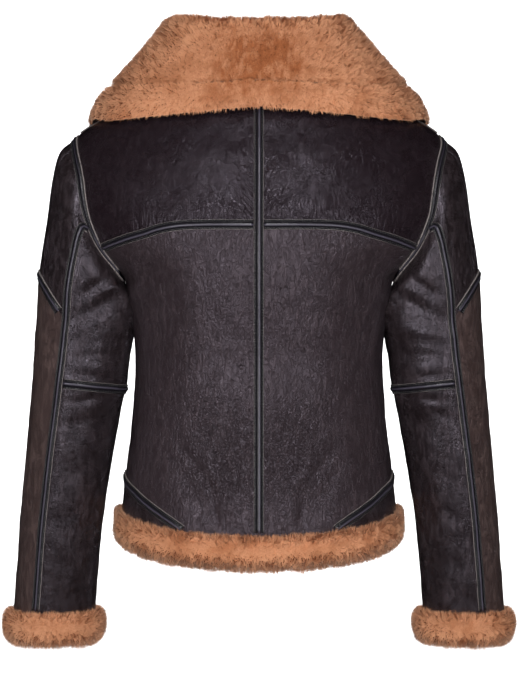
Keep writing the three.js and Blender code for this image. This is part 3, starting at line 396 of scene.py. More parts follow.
def angle_at(x, z, in_front):
    """The torso's angle at a distance across, at a height, behind or in front."""
    share = np.minimum(1, x / smooth(TORSO, "z", "half_width", z))
    rest = (1 - share**SECTION_POWER) ** (1 / SECTION_POWER)
    return np.arctan2(share, np.where(in_front, -rest, rest))


def neckline():
    places = np.array(NECK_BACK + NECK_FRONT, float)
    in_front = np.arange(len(places)) >= len(NECK_BACK)
    shares = np.linspace(0, 1, len(places))
    return {"s": shares, "angle": angle_at(places[:, 0], places[:, 1], in_front), "z": places[:, 1]}


NECK = neckline()
NECK_SIDE = (len(NECK_BACK) - 1) / (len(NECK_BACK) + len(NECK_FRONT) - 1)


def neck_place(s):
    return smooth(NECK, "s", "angle", s), smooth(NECK, "s", "z", s)


def hem_height(angle):
    c = np.cos(angle)
    return HEM["side"] - np.where(c > 0, HEM["back_dip"], HEM["front_dip"]) * np.abs(c) ** HEM["power"]


def pick(values, k):
    return np.take_along_axis(values, k[None, ..., None], 0)[0]


def collar_leather(side, across):
    """The collar's leather side: from its left end to its right one, and from the neck to its edge."""
    s = np.abs(side)
    neck = torso_form(*neck_place(s)) + [0, 0, COLLAR_RISE]
    fold = np.stack([smooth(COLLAR, "s", "fold_" + k, s) for k in "xyz"], -1)
    edge = np.stack([smooth(COLLAR, "s", "edge_" + k, s) for k in "xyz"], -1)
    out = unit((edge - neck) * [1, 1, 0])
    down = np.array([0, 0, -COLLAR_FOLD])
    inside, outside = fold - COLLAR_FOLD * out + down, fold + COLLAR_FOLD * out + down
    bulge = (outside + edge) / 2 + COLLAR_BULGE * out + [0, 0, COLLAR_BULGE / 2]
    path = np.stack([neck, (neck + inside) / 2, inside, fold, outside, bulge, edge])
    shares = np.array(COLLAR_SHARES)
    slope = np.empty_like(path)
    gaps = (shares[2:] - shares[:-2]).reshape(-1, *[1] * (path.ndim - 1))
    slope[1:-1] = (path[2:] - path[:-2]) / gaps
    slope[0] = (path[1] - path[0]) / (shares[1] - shares[0])
    slope[-1] = (path[-1] - path[-2]) / (shares[-1] - shares[-2])
    w = np.broadcast_to(across, s.shape)
    i = np.clip(np.searchsorted(shares, w) - 1, 0, len(shares) - 2)
    span = shares[i + 1] - shares[i]
    f = ((w - shares[i]) / span)[..., None]
    span = span[..., None]
    p = (2 * f**3 - 3 * f**2 + 1) * pick(path, i) + (f**3 - 2 * f**2 + f) * span * pick(slope, i)
    p += (3 * f**2 - 2 * f**3) * pick(path, i + 1) + (f**3 - f**2) * span * pick(slope, i + 1)
    return p * np.stack([np.where(np.asarray(side) < 0, -1, 1), np.ones_like(s), np.ones_like(s)], -1)


class Surface:
    """A surface with two directions: its points, and its outward normals."""

    def __init__(self, at, steps):
        self.at = at
        self.steps = steps

    def frame(self, u, v):
        du, dv = self.steps
        along = (self.at(u + du, v) - self.at(u - du, v)) / (2 * du)
        up = (self.at(u, v + dv) - self.at(u, v - dv)) / (2 * dv)
        return self.at(u, v), along, up, unit(np.cross(along, up))

    def aside(self, places, travel, distance):
        """Places a distance aside of others, square to a direction of travel."""
        _, along, up, normal = self.frame(*places.T)
        way = unit(np.cross(travel, normal)) * distance
        aa, ab, bb = (along * along).sum(-1), (along * up).sum(-1), (up * up).sum(-1)
        wa, wb = (way * along).sum(-1), (way * up).sum(-1)
        det = aa * bb - ab * ab
        return places + np.stack([(wa * bb - wb * ab) / det, (wb * aa - wa * ab) / det], -1)


torso = {side: Surface(functools.partial(torso_skin, side=side), TORSO_STEPS) for side in SIDES.values()}
sleeve = {side: Surface(functools.partial(sleeve_skin, side=side), SLEEVE_STEPS) for side in SIDES.values()}
collar = Surface(collar_leather, COLLAR_STEPS)


def line(place, start, stop, count):
    at = np.linspace(start, stop, count * DENSE + 1)
    return np.stack(np.broadcast_arrays(*place(at)), -1)


def chain(*lines):
    return np.concatenate([lines[0]] + [part[1:] for part in lines[1:]])


def sampled(places, share):
    at = share * (len(places) - 1)
    return np.stack([np.interp(at, np.arange(len(places)), places[:, k]) for k in (0, 1)], -1)


def between(start, end, left, right, u, v):
    """Places over a region with four sides, at shares across and up it."""
    u1, v1 = u[..., None], v[..., None]
    flat = (1 - v1) * sampled(start, u) + v1 * sampled(end, u)
    flat = flat + (1 - u1) * sampled(left, v) + u1 * sampled(right, v)
    corners = (1 - u1) * (1 - v1) * start[0] + u1 * (1 - v1) * start[-1]
    return flat - corners - (1 - u1) * v1 * end[0] - u1 * v1 * end[-1]


def relaxed(sides):
    """Places over a region that an armhole cuts into, evened out until they no longer fold over."""
    share = np.linspace(0, 1, RELAXED + 1)
    p = between(*sides, *np.meshgrid(share, share, indexing="ij")) * TORSO_SCALE
    for _ in range(RELAX_ROUNDS):
        along, up = (p[2:, 1:-1] - p[:-2, 1:-1]) / 2, (p[1:-1, 2:] - p[1:-1, :-2]) / 2
        a, b, c = ((x * y).sum(-1, keepdims=True) for x, y in ((up, up), (along, up), (along, along)))
        twist = (p[2:, 2:] - p[2:, :-2] - p[:-2, 2:] + p[:-2, :-2]) / 4
        drawn = a * (p[2:, 1:-1] + p[:-2, 1:-1]) + c * (p[1:-1, 2:] + p[1:-1, :-2]) - 2 * b * twist
        p[1:-1, 1:-1] = drawn / (2 * (a + c))
    return p / TORSO_SCALE


def picked(grid, u, v):
    """Values of a grid at shares across and up it."""
    at_u, at_v = u * (grid.shape[0] - 1), v * (grid.shape[1] - 1)
    i = np.clip(at_u.astype(int), 0, grid.shape[0] - 2)
    j = np.clip(at_v.astype(int), 0, grid.shape[1] - 2)
    fu, fv = (at_u - i)[..., None], (at_v - j)[..., None]
    low = grid[i, j] * (1 - fu) + grid[i + 1, j] * fu
    high = grid[i, j + 1] * (1 - fu) + grid[i + 1, j + 1] * fu
    return low * (1 - fv) + high * fv


def link(mesh, name, materials):
    piece = bpy.data.objects.new(name, mesh)
    bpy.context.scene.collection.objects.link(piece)
    for material in materials:
        mesh.materials.append(material)
    return piece


def grid_mesh(columns, rows):
    """A flat grid and its points' shares across and up."""
    bm = bmesh.new()
    bmesh.ops.create_grid(bm, x_segments=columns, y_segments=rows, size=0.5)
    bm.verts.ensure_lookup_table()
    shares = np.array([v.co[:2] for v in bm.verts]) + 0.5
    return bm, shares[:, 0], shares[:, 1]


def place_verts(bm, points, side=1):
    for vert, point in zip(bm.verts, points * [side * MM, MM, MM]):
        vert.co = point
    if side < 0:
        bmesh.ops.reverse_faces(bm, faces=bm.faces)


def finished(bm, name, materials, body="jacket"):
    for face in bm.faces:
        face.smooth = True
    mesh = bpy.data.meshes.new(name)
    bm.to_mesh(mesh)
    bm.free()
    piece = link(mesh, name, materials)
    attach(piece, body)
    return piece


def lengths(points):
    return np.linalg.norm(np.diff(points, axis=0), axis=-1).sum(0)


def finer_at_ends(share, amount=0.6):
    return share - amount * np.sin(math.tau * share) / math.tau


def panel(name, surfaces, place_at, hand, dips, hangs, face, cell=CELL):
    """A leather panel over a region with four sides, cut to the sizes that it has along its surface.

    place_at gives places on the surface at shares across and up the region. The panel dips at some of its
    sides, and the pieces that it hangs from are noted with it. Its wool is inside.
    """
    side = SIDES[hand]
    surface = surfaces[side]
    share = np.linspace(0, 1, PROBES)
    flat = surface.at(*np.moveaxis(place_at(*np.meshgrid(share, share)), -1, 0))
    wide, long = lengths(flat.swapaxes(0, 1)), lengths(flat)
    columns, rows = int(wide.max() / cell) + 2, int(long.max() / cell) + 2
    bm, u, v = grid_mesh(columns, rows)
    gap_u, gap_v = SEAM_GAP / 2 / wide.mean(), SEAM_GAP / 2 / long.mean()
    u = gap_u + (1 - 2 * gap_u) * finer_at_ends(u)
    v = gap_v + (1 - 2 * gap_v) * finer_at_ends(v)
    place = place_at(u, v)
    point, _, _, normal = surface.frame(place[:, 0], place[:, 1])
    here_wide, here_long = np.interp(v, share, wide), np.interp(u, share, long)
    apart = {"left": u * here_wide, "right": (1 - u) * here_wide, "start": v * here_long}
    sunk = np.zeros(len(u))
    for edge in dips.split():
        sunk = sunk + SEAM_DIP * np.exp(-((apart[edge] / SEAM_DIP_HALF) ** 2))
    place_verts(bm, point - normal * sunk[:, None], side)
    area = sum(face.calc_area() for face in bm.faces)
    piece = finished(bm, f"{name}_{hand}_skin", [face, pile_inside])
    thick = piece.modifiers.new("skin and clipped wool", "SOLIDIFY")
    thick.thickness = SKIN * MM
    thick.offset = -1
    thick.material_offset = 1
    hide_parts(f"{name}_{hand}")
    carried = [f"{other}_{hand}" if other != "collar" else other for other in hangs]
    sheets.append((piece, name, hand, (wide.max() * MM, long.max() * MM), area, carried))
    return piece


def joined_mesh(name, points, faces, materials):
    """One mesh from arrays of points, in millimetres, and of faces with equally many corners."""
    mesh = bpy.data.meshes.new(name)
    mesh.vertices.add(len(points))
    mesh.vertices.foreach_set("co", (points * MM).astype(np.float32).ravel())
    mesh.loops.add(faces.size)
    mesh.loops.foreach_set("vertex_index", faces.astype(np.int32).ravel())
    mesh.polygons.add(len(faces))
    mesh.polygons.foreach_set("loop_start", np.arange(0, faces.size, faces.shape[1], dtype=np.int32))
    mesh.polygons.foreach_set("use_smooth", np.ones(len(faces), bool))
    mesh.update(calc_edges=True)
    piece = link(mesh, name, materials)
    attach(piece, "jacket")
    return piece


def tagged(mesh, **values):
    """Gives the mesh's points named values for its material."""
    for name, value in values.items():
        attribute = mesh.attributes.new(name, "FLOAT", "POINT")
        attribute.data.foreach_set("value", np.asarray(value, np.float32))


def through_rings(name, rings, materials, joined=False, second=None, **values):
    """A closed shape through rings of points. Columns from second on get the second material."""
    count, around = rings.shape[:2]
    rows = count if joined else count - 1
    bm, u, v = grid_mesh(around, rows)
    i, j = np.rint(u * around).astype(int), np.rint(v * rows).astype(int)
    if second is not None:
        for face in bm.faces:
            face.material_index = int((face.calc_center_median().x + 0.5) * around >= second)
    layers = {key: bm.verts.layers.float.new(key) for key in values}
    place_verts(bm, rings[j % count, i % around])
    for key, layer in layers.items():
        for vert, value in zip(bm.verts, values[key][j % count, i % around]):
            vert[layer] = value
    bmesh.ops.remove_doubles(bm, verts=bm.verts, dist=1e-6)
    if not joined:
        bmesh.ops.holes_fill(bm, edges=[edge for edge in bm.edges if edge.is_boundary])
    bmesh.ops.recalc_face_normals(bm, faces=bm.faces)
    return finished(bm, name, materials)


def run_along(points):
    """The length along a line of points, up to each of them."""
    return np.concatenate([[0], np.cumsum(np.linalg.norm(np.diff(points, axis=0), axis=1))])


def trimmed(surface, places, first, final, step=TAPE_STEP):
    """A line of places with a length cut off each end, in even steps."""
    fine = sampled(places, np.linspace(0, 1, 400))
    run = run_along(surface.at(*fine.T))
    count = max(2, int(round((run[-1] - first - final) / step)))
    at = np.linspace(first, run[-1] - final, count + 1)
    return np.stack([np.interp(at, run, fine[:, k]) for k in (0, 1)], -1)


def travels(points):
    ahead = np.concatenate([points[1:], points[-1:]])
    behind = np.concatenate([points[:1], points[:-1]])
    return unit(ahead - behind)


def strip_point(surface, places, travel, across, height):
    point, _, _, normal = surface.frame(*surface.aside(places, travel, across).T)
    return point + normal * height


def finish_tape(name, point_at, run, half, hand):
    """A tape and its stitches, from a function that gives its points across and over the leather."""
    share = half / TAPE_HALF
    across, height = np.array(TAPE_PROFILE).T
    across = across * share
    side = SIDES.get(hand, 1)
    rings = np.stack([point_at(a, h) for a, h in zip(across, height)], 1) * [side, 1, 1]
    along = np.broadcast_to(run[:, None], rings.shape[:2])
    spread = np.broadcast_to(across / half, rings.shape[:2])
    full = f"{name}_{hand}" if hand else name
    piece = through_rings(f"{full}_strip", rings, [tape_leather], across=spread, along=along)
    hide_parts(full)
    rows = []
    for out in (-STITCH_OUT * share, STITCH_OUT * share):
        low, high = (point_at(out, height) * [side, 1, 1] for height in STITCH_HEIGHTS)
        rows.append(stitch_places(low, high, run))
    parts = [np.concatenate(part) for part in zip(*rows)]
    sewn = stitches(f"{full}_stitches", *parts)


def stitch_places(low, high, run):
    """Middles, ways along and ways out of stitches at their pitch along a row of points."""
    at = np.arange(run[0] + STITCH_PITCH / 2, run[-1], STITCH_PITCH)
    middle = np.stack([np.interp(at, run, low[:, k]) for k in range(3)], -1)
    above = np.stack([np.interp(at, run, high[:, k]) for k in range(3)], -1)
    ahead = np.stack([np.interp(at + 0.5, run, low[:, k]) for k in range(3)], -1)
    behind = np.stack([np.interp(at - 0.5, run, low[:, k]) for k in range(3)], -1)
    return middle, unit(ahead - behind), unit(above - middle)


def stitches(name, middle, along, out):
    """Stitches as one mesh, slanted a little as a lockstitch is.

    Each is a spindle of thread: a ring of four points on each side of its middle, and a point at each end.
    """
    along = unit(along + STITCH["slant"] * np.cross(along, out))
    across = np.cross(along, out)
    thick = STITCH["thick"]
    ring = [(thick, 0), (0, thick), (-thick, 0), (0, -thick)]
    local = [(-STITCH["half"], 0, -STITCH["sunk"])]
    local += [(-STITCH["shoulder"], a, h + STITCH["lift"]) for a, h in ring]
    local += [(STITCH["shoulder"], a, h + STITCH["lift"]) for a, h in ring]
    local += [(STITCH["half"], 0, -STITCH["sunk"])]
    local = np.array(local)
    faces = [(0, 1 + k, 1 + (k + 1) % 4) for k in range(4)]
    for k in range(4):
        a, b, c, d = 1 + k, 5 + k, 5 + (k + 1) % 4, 1 + (k + 1) % 4
        faces += [(a, b, c), (a, c, d)]
    faces += [(9, 5 + (k + 1) % 4, 5 + k) for k in range(4)]
    axes = np.stack([along, across, out], 1)
    points = middle[:, None, :] + np.einsum("kc,ncx->nkx", local, axes)
    index = np.array(faces)[None] + (np.arange(len(middle)) * len(local))[:, None, None]
    piece = joined_mesh(name, points.reshape(-1, 3), index.reshape(-1, 3), [thread])
    return piece


def tape(name, surfaces, places, first, final, hand="", half=TAPE_HALF):
    """A tape along a line of places on a surface."""
    surface = surfaces[SIDES.get(hand, 1)]
    kept = trimmed(surface, places, first, final)
    points = surface.at(*kept.T)
    point_at = functools.partial(strip_point, surface, kept, travels(points))
    finish_tape(name, point_at, run_along(points), half, hand)


def armhole_tape(hand):
    """The armhole's tape, half on the torso and half on the sleeve."""
    on_torso, on_sleeve = torso[SIDES[hand]], sleeve[SIDES[hand]]
    deg = np.linspace(-ARMHOLE_TAPE["reach"], ARMHOLE_TAPE["reach"], ARMHOLE_TAPE["rings"])
    places = np.stack(armhole_on_torso(np.mod(deg, 360)), -1)
    sleeve_places = np.stack([deg, np.full_like(deg, 2 * SLEEVE_STEPS[1])], -1)
    rim = on_torso.at(*places.T)
    travel = travels(rim)
    _, _, _, torso_out = on_torso.frame(*places.T)
    _, _, _, sleeve_out = on_sleeve.frame(*sleeve_places.T)
    middle_out = unit(torso_out + sleeve_out)

    def at(across, height):
        torso_share = ease((across + ARMHOLE_TAPE["blend"]) / (2 * ARMHOLE_TAPE["blend"]))
        a = strip_point(on_torso, places, travel, max(across, 0), height)
        b = strip_point(on_sleeve, sleeve_places, travel, min(across, 0), height)
        lifted = rim + middle_out * (height + ARMHOLE_TAPE["lift"])
        flat = a * torso_share + b * (1 - torso_share)
        near = math.exp(-((across / ARMHOLE_TAPE["ridge"]) ** 2))
        return flat * (1 - near) + lifted * near

    finish_tape("armhole_tape", at, run_along(rim), ARMHOLE_TAPE_HALF, hand)


def full_pile(u, v):
    return np.full_like(u, PILE_DENSITY)


def inner_pile(u, v):
    """Thinner wool inside the collar's fold."""
    return np.where(v < HIDDEN_SHARE, HIDDEN_DENSITY, PILE_DENSITY)


def scatter(at, us, vs, density, rng):
    """Random places on a surface, as many to a square millimetre as density says."""
    u, v = np.meshgrid(us, vs, indexing="ij")
    p = at(u, v)
    across, down = p[1:, :-1] - p[:-1, :-1], p[:-1, 1:] - p[:-1, :-1]
    area = np.linalg.norm(np.cross(across, down), axis=-1)
    mid_u, mid_v = (u[1:, 1:] + u[:-1, :-1]) / 2, (v[1:, 1:] + v[:-1, :-1]) / 2
    counts = rng.poisson(area * density(mid_u, mid_v))
    i, j = np.nonzero(counts)
    many = counts[i, j]
    i, j = np.repeat(i, many), np.repeat(j, many)
    return us[i] + rng.random(len(i)) * (us[1] - us[0]), vs[j] + rng.random(len(i)) * (vs[1] - vs[0])


def pile(name, roots, out, nap, reach, seed):
    """Wool fibres from their roots: they stand out, lean with the nap and gather into locks."""
    rng = np.random.default_rng(seed)
    count = len(roots)
    swirl = np.stack([waves(roots, LOCK, LOCK_SEED + k, 12) for k in (1, 2, 3)], -1)
    fine = np.stack([waves(roots, LOCK / 2, LOCK_SEED + 10 + k, 12) for k in (1, 2, 3)], -1)
    lean = LEAN["nap"] * nap + LEAN["swirl"] * swirl + LEAN["fine"] * fine
    lean = lean + LEAN["random"] * rng.normal(size=(count, 3))
    lean -= out * (lean * out).sum(-1, keepdims=True)
    way = unit(out + lean)
    uneven = 1 + 0.14 * waves(roots, 24, LOCK_SEED + 5) + 0.1 * waves(roots, 8, LOCK_SEED + 6)
    long = reach * rng.uniform(0.8, 1.15, count) * uneven
    across = unit(np.cross(way, out))
    half = PILE_WIDTH / 2 * rng.uniform(0.7, 1.3, (count, 1))
    points = np.stack([roots - across * half, roots + across * half, roots + way * long[:, None]], 1)
    piece = joined_mesh(name, points.reshape(-1, 3), np.arange(3 * count).reshape(-1, 3), [wool])
    flat = np.cross(across, way)
    soft = unit(unit(out * [1, 1, 0.45]) * 0.9 + flat * 0.35 + way * 0.25)
    piece.data.normals_split_custom_set_from_vertices(np.repeat(soft, 3, axis=0))
    shade = 0.5 + 0.18 * waves(roots, LOCK, LOCK_SEED + 1, 12) + 0.14 * rng.normal(size=count)
    tagged(piece.data, tip=np.tile([0, 0, 1], count), lock=np.repeat(np.clip(shade, 0, 1), 3))
    return piece


def outline_at(outline, around):
    """A point of a closed outline, at a share round it."""
    points = np.array(outline, float)
    count = len(points)
    at = np.mod(around, 1) * count
    i = np.floor(at).astype(int)
    f = (at - i)[..., None]
    a, b, c, d = (points[(i + k) % count] for k in (-1, 0, 1, 2))
    return 0.5 * (2 * b + (c - a) * f + (2 * a - 5 * b + 4 * c - d) * f**2 + (3 * b - a - 3 * c + d) * f**3)


def roll(name, edge_at, outline, start, stop, side, seed, joined=False):
    """A wool band rolled over an edge, its fibres, and its length.

    edge_at gives the edge's points and the ways out of it.
    """
    centre = np.mean(np.array(outline, float), axis=0)

    def surface(along, around, share=1.0):
        edge, out = edge_at(along)
        flat = centre + (outline_at(outline, around) - centre) * share
        return (edge + out * flat[..., :1] + np.array([0, 0, 1]) * flat[..., 1:]) * [side, 1, 1]

    run = np.linalg.norm(np.diff(surface(np.linspace(start, stop, 200), np.zeros(200)), axis=0), axis=1).sum()
    count = int(run / ROLL_STEP)
    along = np.linspace(start, stop, count, endpoint=not joined)
    around = np.linspace(0, 1, ROLL_AROUND["rings"], endpoint=False)
    grid = np.meshgrid(along, around, indexing="ij")
    rings = surface(*grid, ROLL_CORE)
    rings = rings + unit(rings - surface(*grid, 0.0)) * waves(rings, LOCK, LOCK_SEED + 1, 12)[..., None]
    core = through_rings(f"{name}_core", rings, [wool_root], joined)
    rng = np.random.default_rng(seed + 100)
    us, vs = np.linspace(start, stop, count), np.linspace(0, 1, ROLL_AROUND["wool"])
    places = scatter(surface, us, vs, full_pile, rng)
    root, top = surface(*places, ROLL_CORE), surface(*places)
    out = unit(top - surface(*places, ROLL_CORE * 0.6))
    reach = np.linalg.norm(top - root, axis=-1) * 1.12 + 1.0
    fibres = pile(f"{name}_pile", root, out, np.array([0, 0, -0.5]), reach, seed)
    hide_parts(name)
    return core, fibres, run


def hem_edge(angle):
    surface = torso[1]
    point, _, _, normal = surface.frame(angle, hem_height(angle))
    return point, unit(normal * [1, 1, 0])


def cuff_edge(deg):
    surface = sleeve[1]
    point, _, _, normal = surface.frame(deg, np.ones_like(deg))
    return point, unit(normal * [1, 1, 0])


def collar_height(side, across):
    """The wool's full height over the collar's leather: rounded off at its outer edge and its front ends."""
    edge = np.sqrt(np.maximum(0.08, 1 - np.maximum(0, (across - 0.86) / 0.14) ** 2))
    end = np.sqrt(np.maximum(0.12, 1 - np.maximum(0, (np.abs(side) - 0.975) / 0.025) ** 2))
    seam = 1 - 0.5 * np.exp(-(((across - COLLAR_SEAM) / 0.014) ** 2))
    return COLLAR_WOOL * edge * end * seam


def collar_wool(side, across):
    """A surface within the collar's wool."""
    point, _, _, normal = collar.frame(side, across)
    return point - normal * COLLAR_WOOL * 0.7


def collar_strip(name, start, stop, columns, density, seed):
    """A strip of the collar between two shares of its width: leather under, wool on top, and its fibres."""
    sides = np.linspace(-COLLAR_END, COLLAR_END, COLLAR_ALONG["rings"])
    shares = np.linspace(start, stop, columns)
    grid = np.meshgrid(sides, shares, indexing="ij")
    point, _, _, normal = collar.frame(*grid)
    height = collar_height(*grid) * COLLAR_ROOT
    height = height + 0.9 * waves(point, LOCK, LOCK_SEED + 1, 12) * ease(height / 6)
    rings = np.concatenate([point, (point - normal * height[..., None])[:, ::-1]], axis=1)
    core = through_rings(f"{name}_core", rings, [leather, wool_root], second=columns - 1)
    rng = np.random.default_rng(seed)
    us = np.linspace(-COLLAR_END, COLLAR_END, COLLAR_ALONG["wool"])
    side, across = scatter(collar_wool, us, np.linspace(start, stop, columns * 2), density, rng)
    point, along, down, normal = collar.frame(side, across)
    full = collar_height(side, across)
    root = point - normal * (full * COLLAR_ROOT)[:, None]
    edge_way = ease((across - 0.86) / 0.14)[:, None] * unit(down)
    end_way = (ease((np.abs(side) - 0.97) / 0.03) * np.sign(side))[:, None] * unit(along)
    out = unit(-normal + 1.5 * edge_way + 1.5 * end_way)
    reach = np.maximum(full * (1 - COLLAR_ROOT) * 1.1 + 1.2, COLLAR_FRINGE * ease((across - 0.9) / 0.1))
    fibres = pile(f"{name}_pile", root, out, unit(down), reach, seed + 1)
    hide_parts(name)
    return core, fibres


def opaque(colour):
    """A colour with its alpha. A socket stays as it is."""
    return (*colour, 1) if isinstance(colour, tuple) else colour


class Finish:
    """A material built from nodes, on the piece's own places."""

    def __init__(self, name, **sockets):
        self.material = bpy.data.materials.new(name)
        self.material.use_nodes = True
        self.tree = self.material.node_tree
        self.shader = self.tree.nodes["Principled BSDF"]
        for socket, value in sockets.items():
            self.shader.inputs[socket.replace("_", " ")].default_value = value
        self.place = self.add("ShaderNodeTexCoord", {}, "Object")
        parts = self.add("ShaderNodeSeparateXYZ", {"Vector": self.place}, None)
        self.x, self.y, self.z = parts.outputs

    def add(self, kind, inputs, out=0, **settings):
        node = self.tree.nodes.new(kind)
        for key, value in settings.items():
            setattr(node, key, value)
        for key, value in inputs.items():
            self.feed(node.inputs[key], value)
        return node if out is None else node.outputs[out]

    def feed(self, socket, value):
        if isinstance(value, bpy.types.NodeSocket):
            self.tree.links.new(value, socket)
        else:
            socket.default_value = value

    def math(self, operation, a, b=0.0, c=0.0):
        return self.add("ShaderNodeMath", {0: a, 1: b, 2: c}, operation=operation)

    def scaled(self, sizes, place=None):
        """Places stretched so that a pattern has these sizes, in millimetres."""
        factors = tuple(1 / (size * MM) for size in sizes)
        return self.add("ShaderNodeVectorMath", {0: place or self.place, 1: factors}, operation="MULTIPLY")

    def noise(self, sizes, detail=2.0, roughness=0.5, distortion=0.0, place=None):
        inputs = {"Vector": self.scaled(sizes, place), "Scale": 1.0, "Detail": detail}
        inputs.update({"Roughness": roughness, "Distortion": distortion})
        return self.add("ShaderNodeTexNoise", inputs)

    def cells(self, size, randomness=1.0, place=None):
        """How far a place is from the nearest line between cells of a size."""
        inputs = {"Vector": self.scaled((size,) * 3, place), "Scale": 1.0, "Randomness": randomness}
        return self.add("ShaderNodeTexVoronoi", inputs, "Distance", feature="DISTANCE_TO_EDGE")

    def span(self, value, low, high, start=0.0, stop=1.0):
        """A value eased from start to stop as another goes from low to high."""
        inputs = {"Value": value, "From Min": low, "From Max": high, "To Min": start, "To Max": stop}
        return self.add("ShaderNodeMapRange", inputs, interpolation_type="SMOOTHSTEP")

    def creases(self, value, half):
        """1 on the thin lines where a noise crosses its middle, 0 away from them."""
        return self.span(self.math("ABSOLUTE", self.math("SUBTRACT", value, 0.5)), 0.0, half, 1.0, 0.0)

    def mixed(self, share, a, b):
        inputs = {"Factor": share, 6: opaque(a), 7: opaque(b)}
        return self.add("ShaderNodeMix", inputs, 2, data_type="RGBA")

    def total(self, *terms):
        """A sum of values, each with its weight."""
        result = 0.0
        for value, weight in terms:
            result = self.math("MULTIPLY_ADD", value, weight, result)
        return result

    def raised(self, height):
        """Bumps, from heights in millimetres."""
        normal = self.add("ShaderNodeBump", {"Height": height, "Distance": MM, "Strength": 1.0}, "Normal")
        self.feed(self.shader.inputs["Normal"], normal)

    def value(self, name):
        return self.add("ShaderNodeAttribute", {}, "Fac", attribute_name=name)


def leather_finish(name, deep, worn, rough, crepe=0.3, fan=0.0, pebble=0.1, pucker=0.0, shine=0.42):
    """Glazed sheepskin, from its deep and worn tones, with painted shade in its valleys and creases.

    crepe, fan, pebble and pucker are heights in millimetres: of upright crepe, of a fan of wrinkles beside the
    centre back, of pebbles near the hem, and of the gathers over the yoke seam. crepe and pebble also set how
    much painted shade goes into the crepe's furrows and between the pebbles.
    """
    f = Finish(name, Specular_IOR_Level=shine, Specular_Tint=(0.93, 0.84, 1.0, 1.0))
    aside = f.math("ABSOLUTE", f.x)
    patches = f.noise((46, 46, 46), 2.0)
    grain = f.span(f.cells(1.3), 0.0, 0.2)
    pebbles = f.span(f.cells(3.8), 0.0, 0.34)
    low = f.math("MULTIPLY", f.span(f.z, -0.50, -0.46), f.span(f.z, -0.41, -0.33, 1.0, 0.0))
    low_middle = f.math("MULTIPLY", f.span(aside, 0.04, 0.12, 1.0, 0.0), low)
    bent = f.add("ShaderNodeVectorMath", {0: f.place, 1: f.noise((26, 26, 26))}, operation="ADD")
    upright = f.noise((4.6, 4.6, 17), 1.2, 0.5, 0.7)
    furrows = f.creases(upright, 0.045)
    across = f.noise((20, 20, 6.5), 1.5, 0.5, 0.8)
    thin = f.creases(f.noise((17, 17, 24), 2.0, 0.5, 0.8, place=bent), 0.02)
    slanted = f.math("MULTIPLY_ADD", aside, -1.25, f.z)
    along = f.math("MULTIPLY_ADD", aside, 0.8, f.z)
    fan_place = f.add("ShaderNodeCombineXYZ", {"X": slanted, "Y": along, "Z": f.x})
    fan_lines = f.noise((4.6, 19, 40), 1.2, 0.5, 0.6, place=fan_place)
    fan_near = f.span(aside, 0.008, 0.058, 1.0, 0.0)
    fan_height = f.math("MULTIPLY", f.span(f.z, -0.20, -0.15), f.span(f.z, -0.115, -0.065, 1.0, 0.0))
    fan_share = f.math("MULTIPLY", fan_near, fan_height)
    outward = f.math("MAXIMUM", f.math("SUBTRACT", aside, 0.085), 0.0)
    over_seam = f.math("MULTIPLY_ADD", outward, 0.28, f.z)
    pucker_share = f.math("MULTIPLY", upright, f.span(over_seam, -0.162, -0.134, 1.0, 0.0))
    crepe_share = f.math("MULTIPLY", upright, f.span(patches, 0.3, 0.62, 0.5, 1.0))
    height = f.total(
        (grain, 0.03),
        (f.math("MULTIPLY", pebbles, f.math("ADD", low_middle, 0.25)), pebble),
        (crepe_share, crepe),
        (furrows, -0.2 * crepe),
        (across, crepe * 0.4),
        (thin, -0.45),
        (pucker_share, pucker),
        (f.math("MULTIPLY", fan_lines, fan_share), fan),
    )
    f.raised(height)
    # Paler where the crepe stands high and in worn patches, darker in its valleys: partly wear, partly painted
    # shade in the valleys.
    wear_and_valley_shade = f.math("MULTIPLY", f.span(upright, 0.38, 0.66), f.span(patches, 0.3, 0.6, 0.4, 1.0))
    tone = f.mixed(wear_and_valley_shade, deep, worn)
    # Painted shade: the thin creases, the crepe's furrows and the gaps between the pebbles near the hem are
    # darkened towards a tone much darker than the deep one.
    gaps = f.math("MULTIPLY", f.math("SUBTRACT", 1.0, pebbles), low_middle)
    dark = f.total((thin, 0.45), (furrows, min(0.35, crepe * 0.25)), (gaps, min(0.35, pebble)))
    painted_crease_shade = tuple(c * 0.4 for c in deep)
    f.feed(f.shader.inputs["Base Color"], f.mixed(f.math("MINIMUM", dark, 0.9), tone, painted_crease_shade))
    f.feed(f.shader.inputs["Roughness"], f.total((patches, 0.16), (grain, 0.03), (1.0, rough - 0.1)))
    return f.material


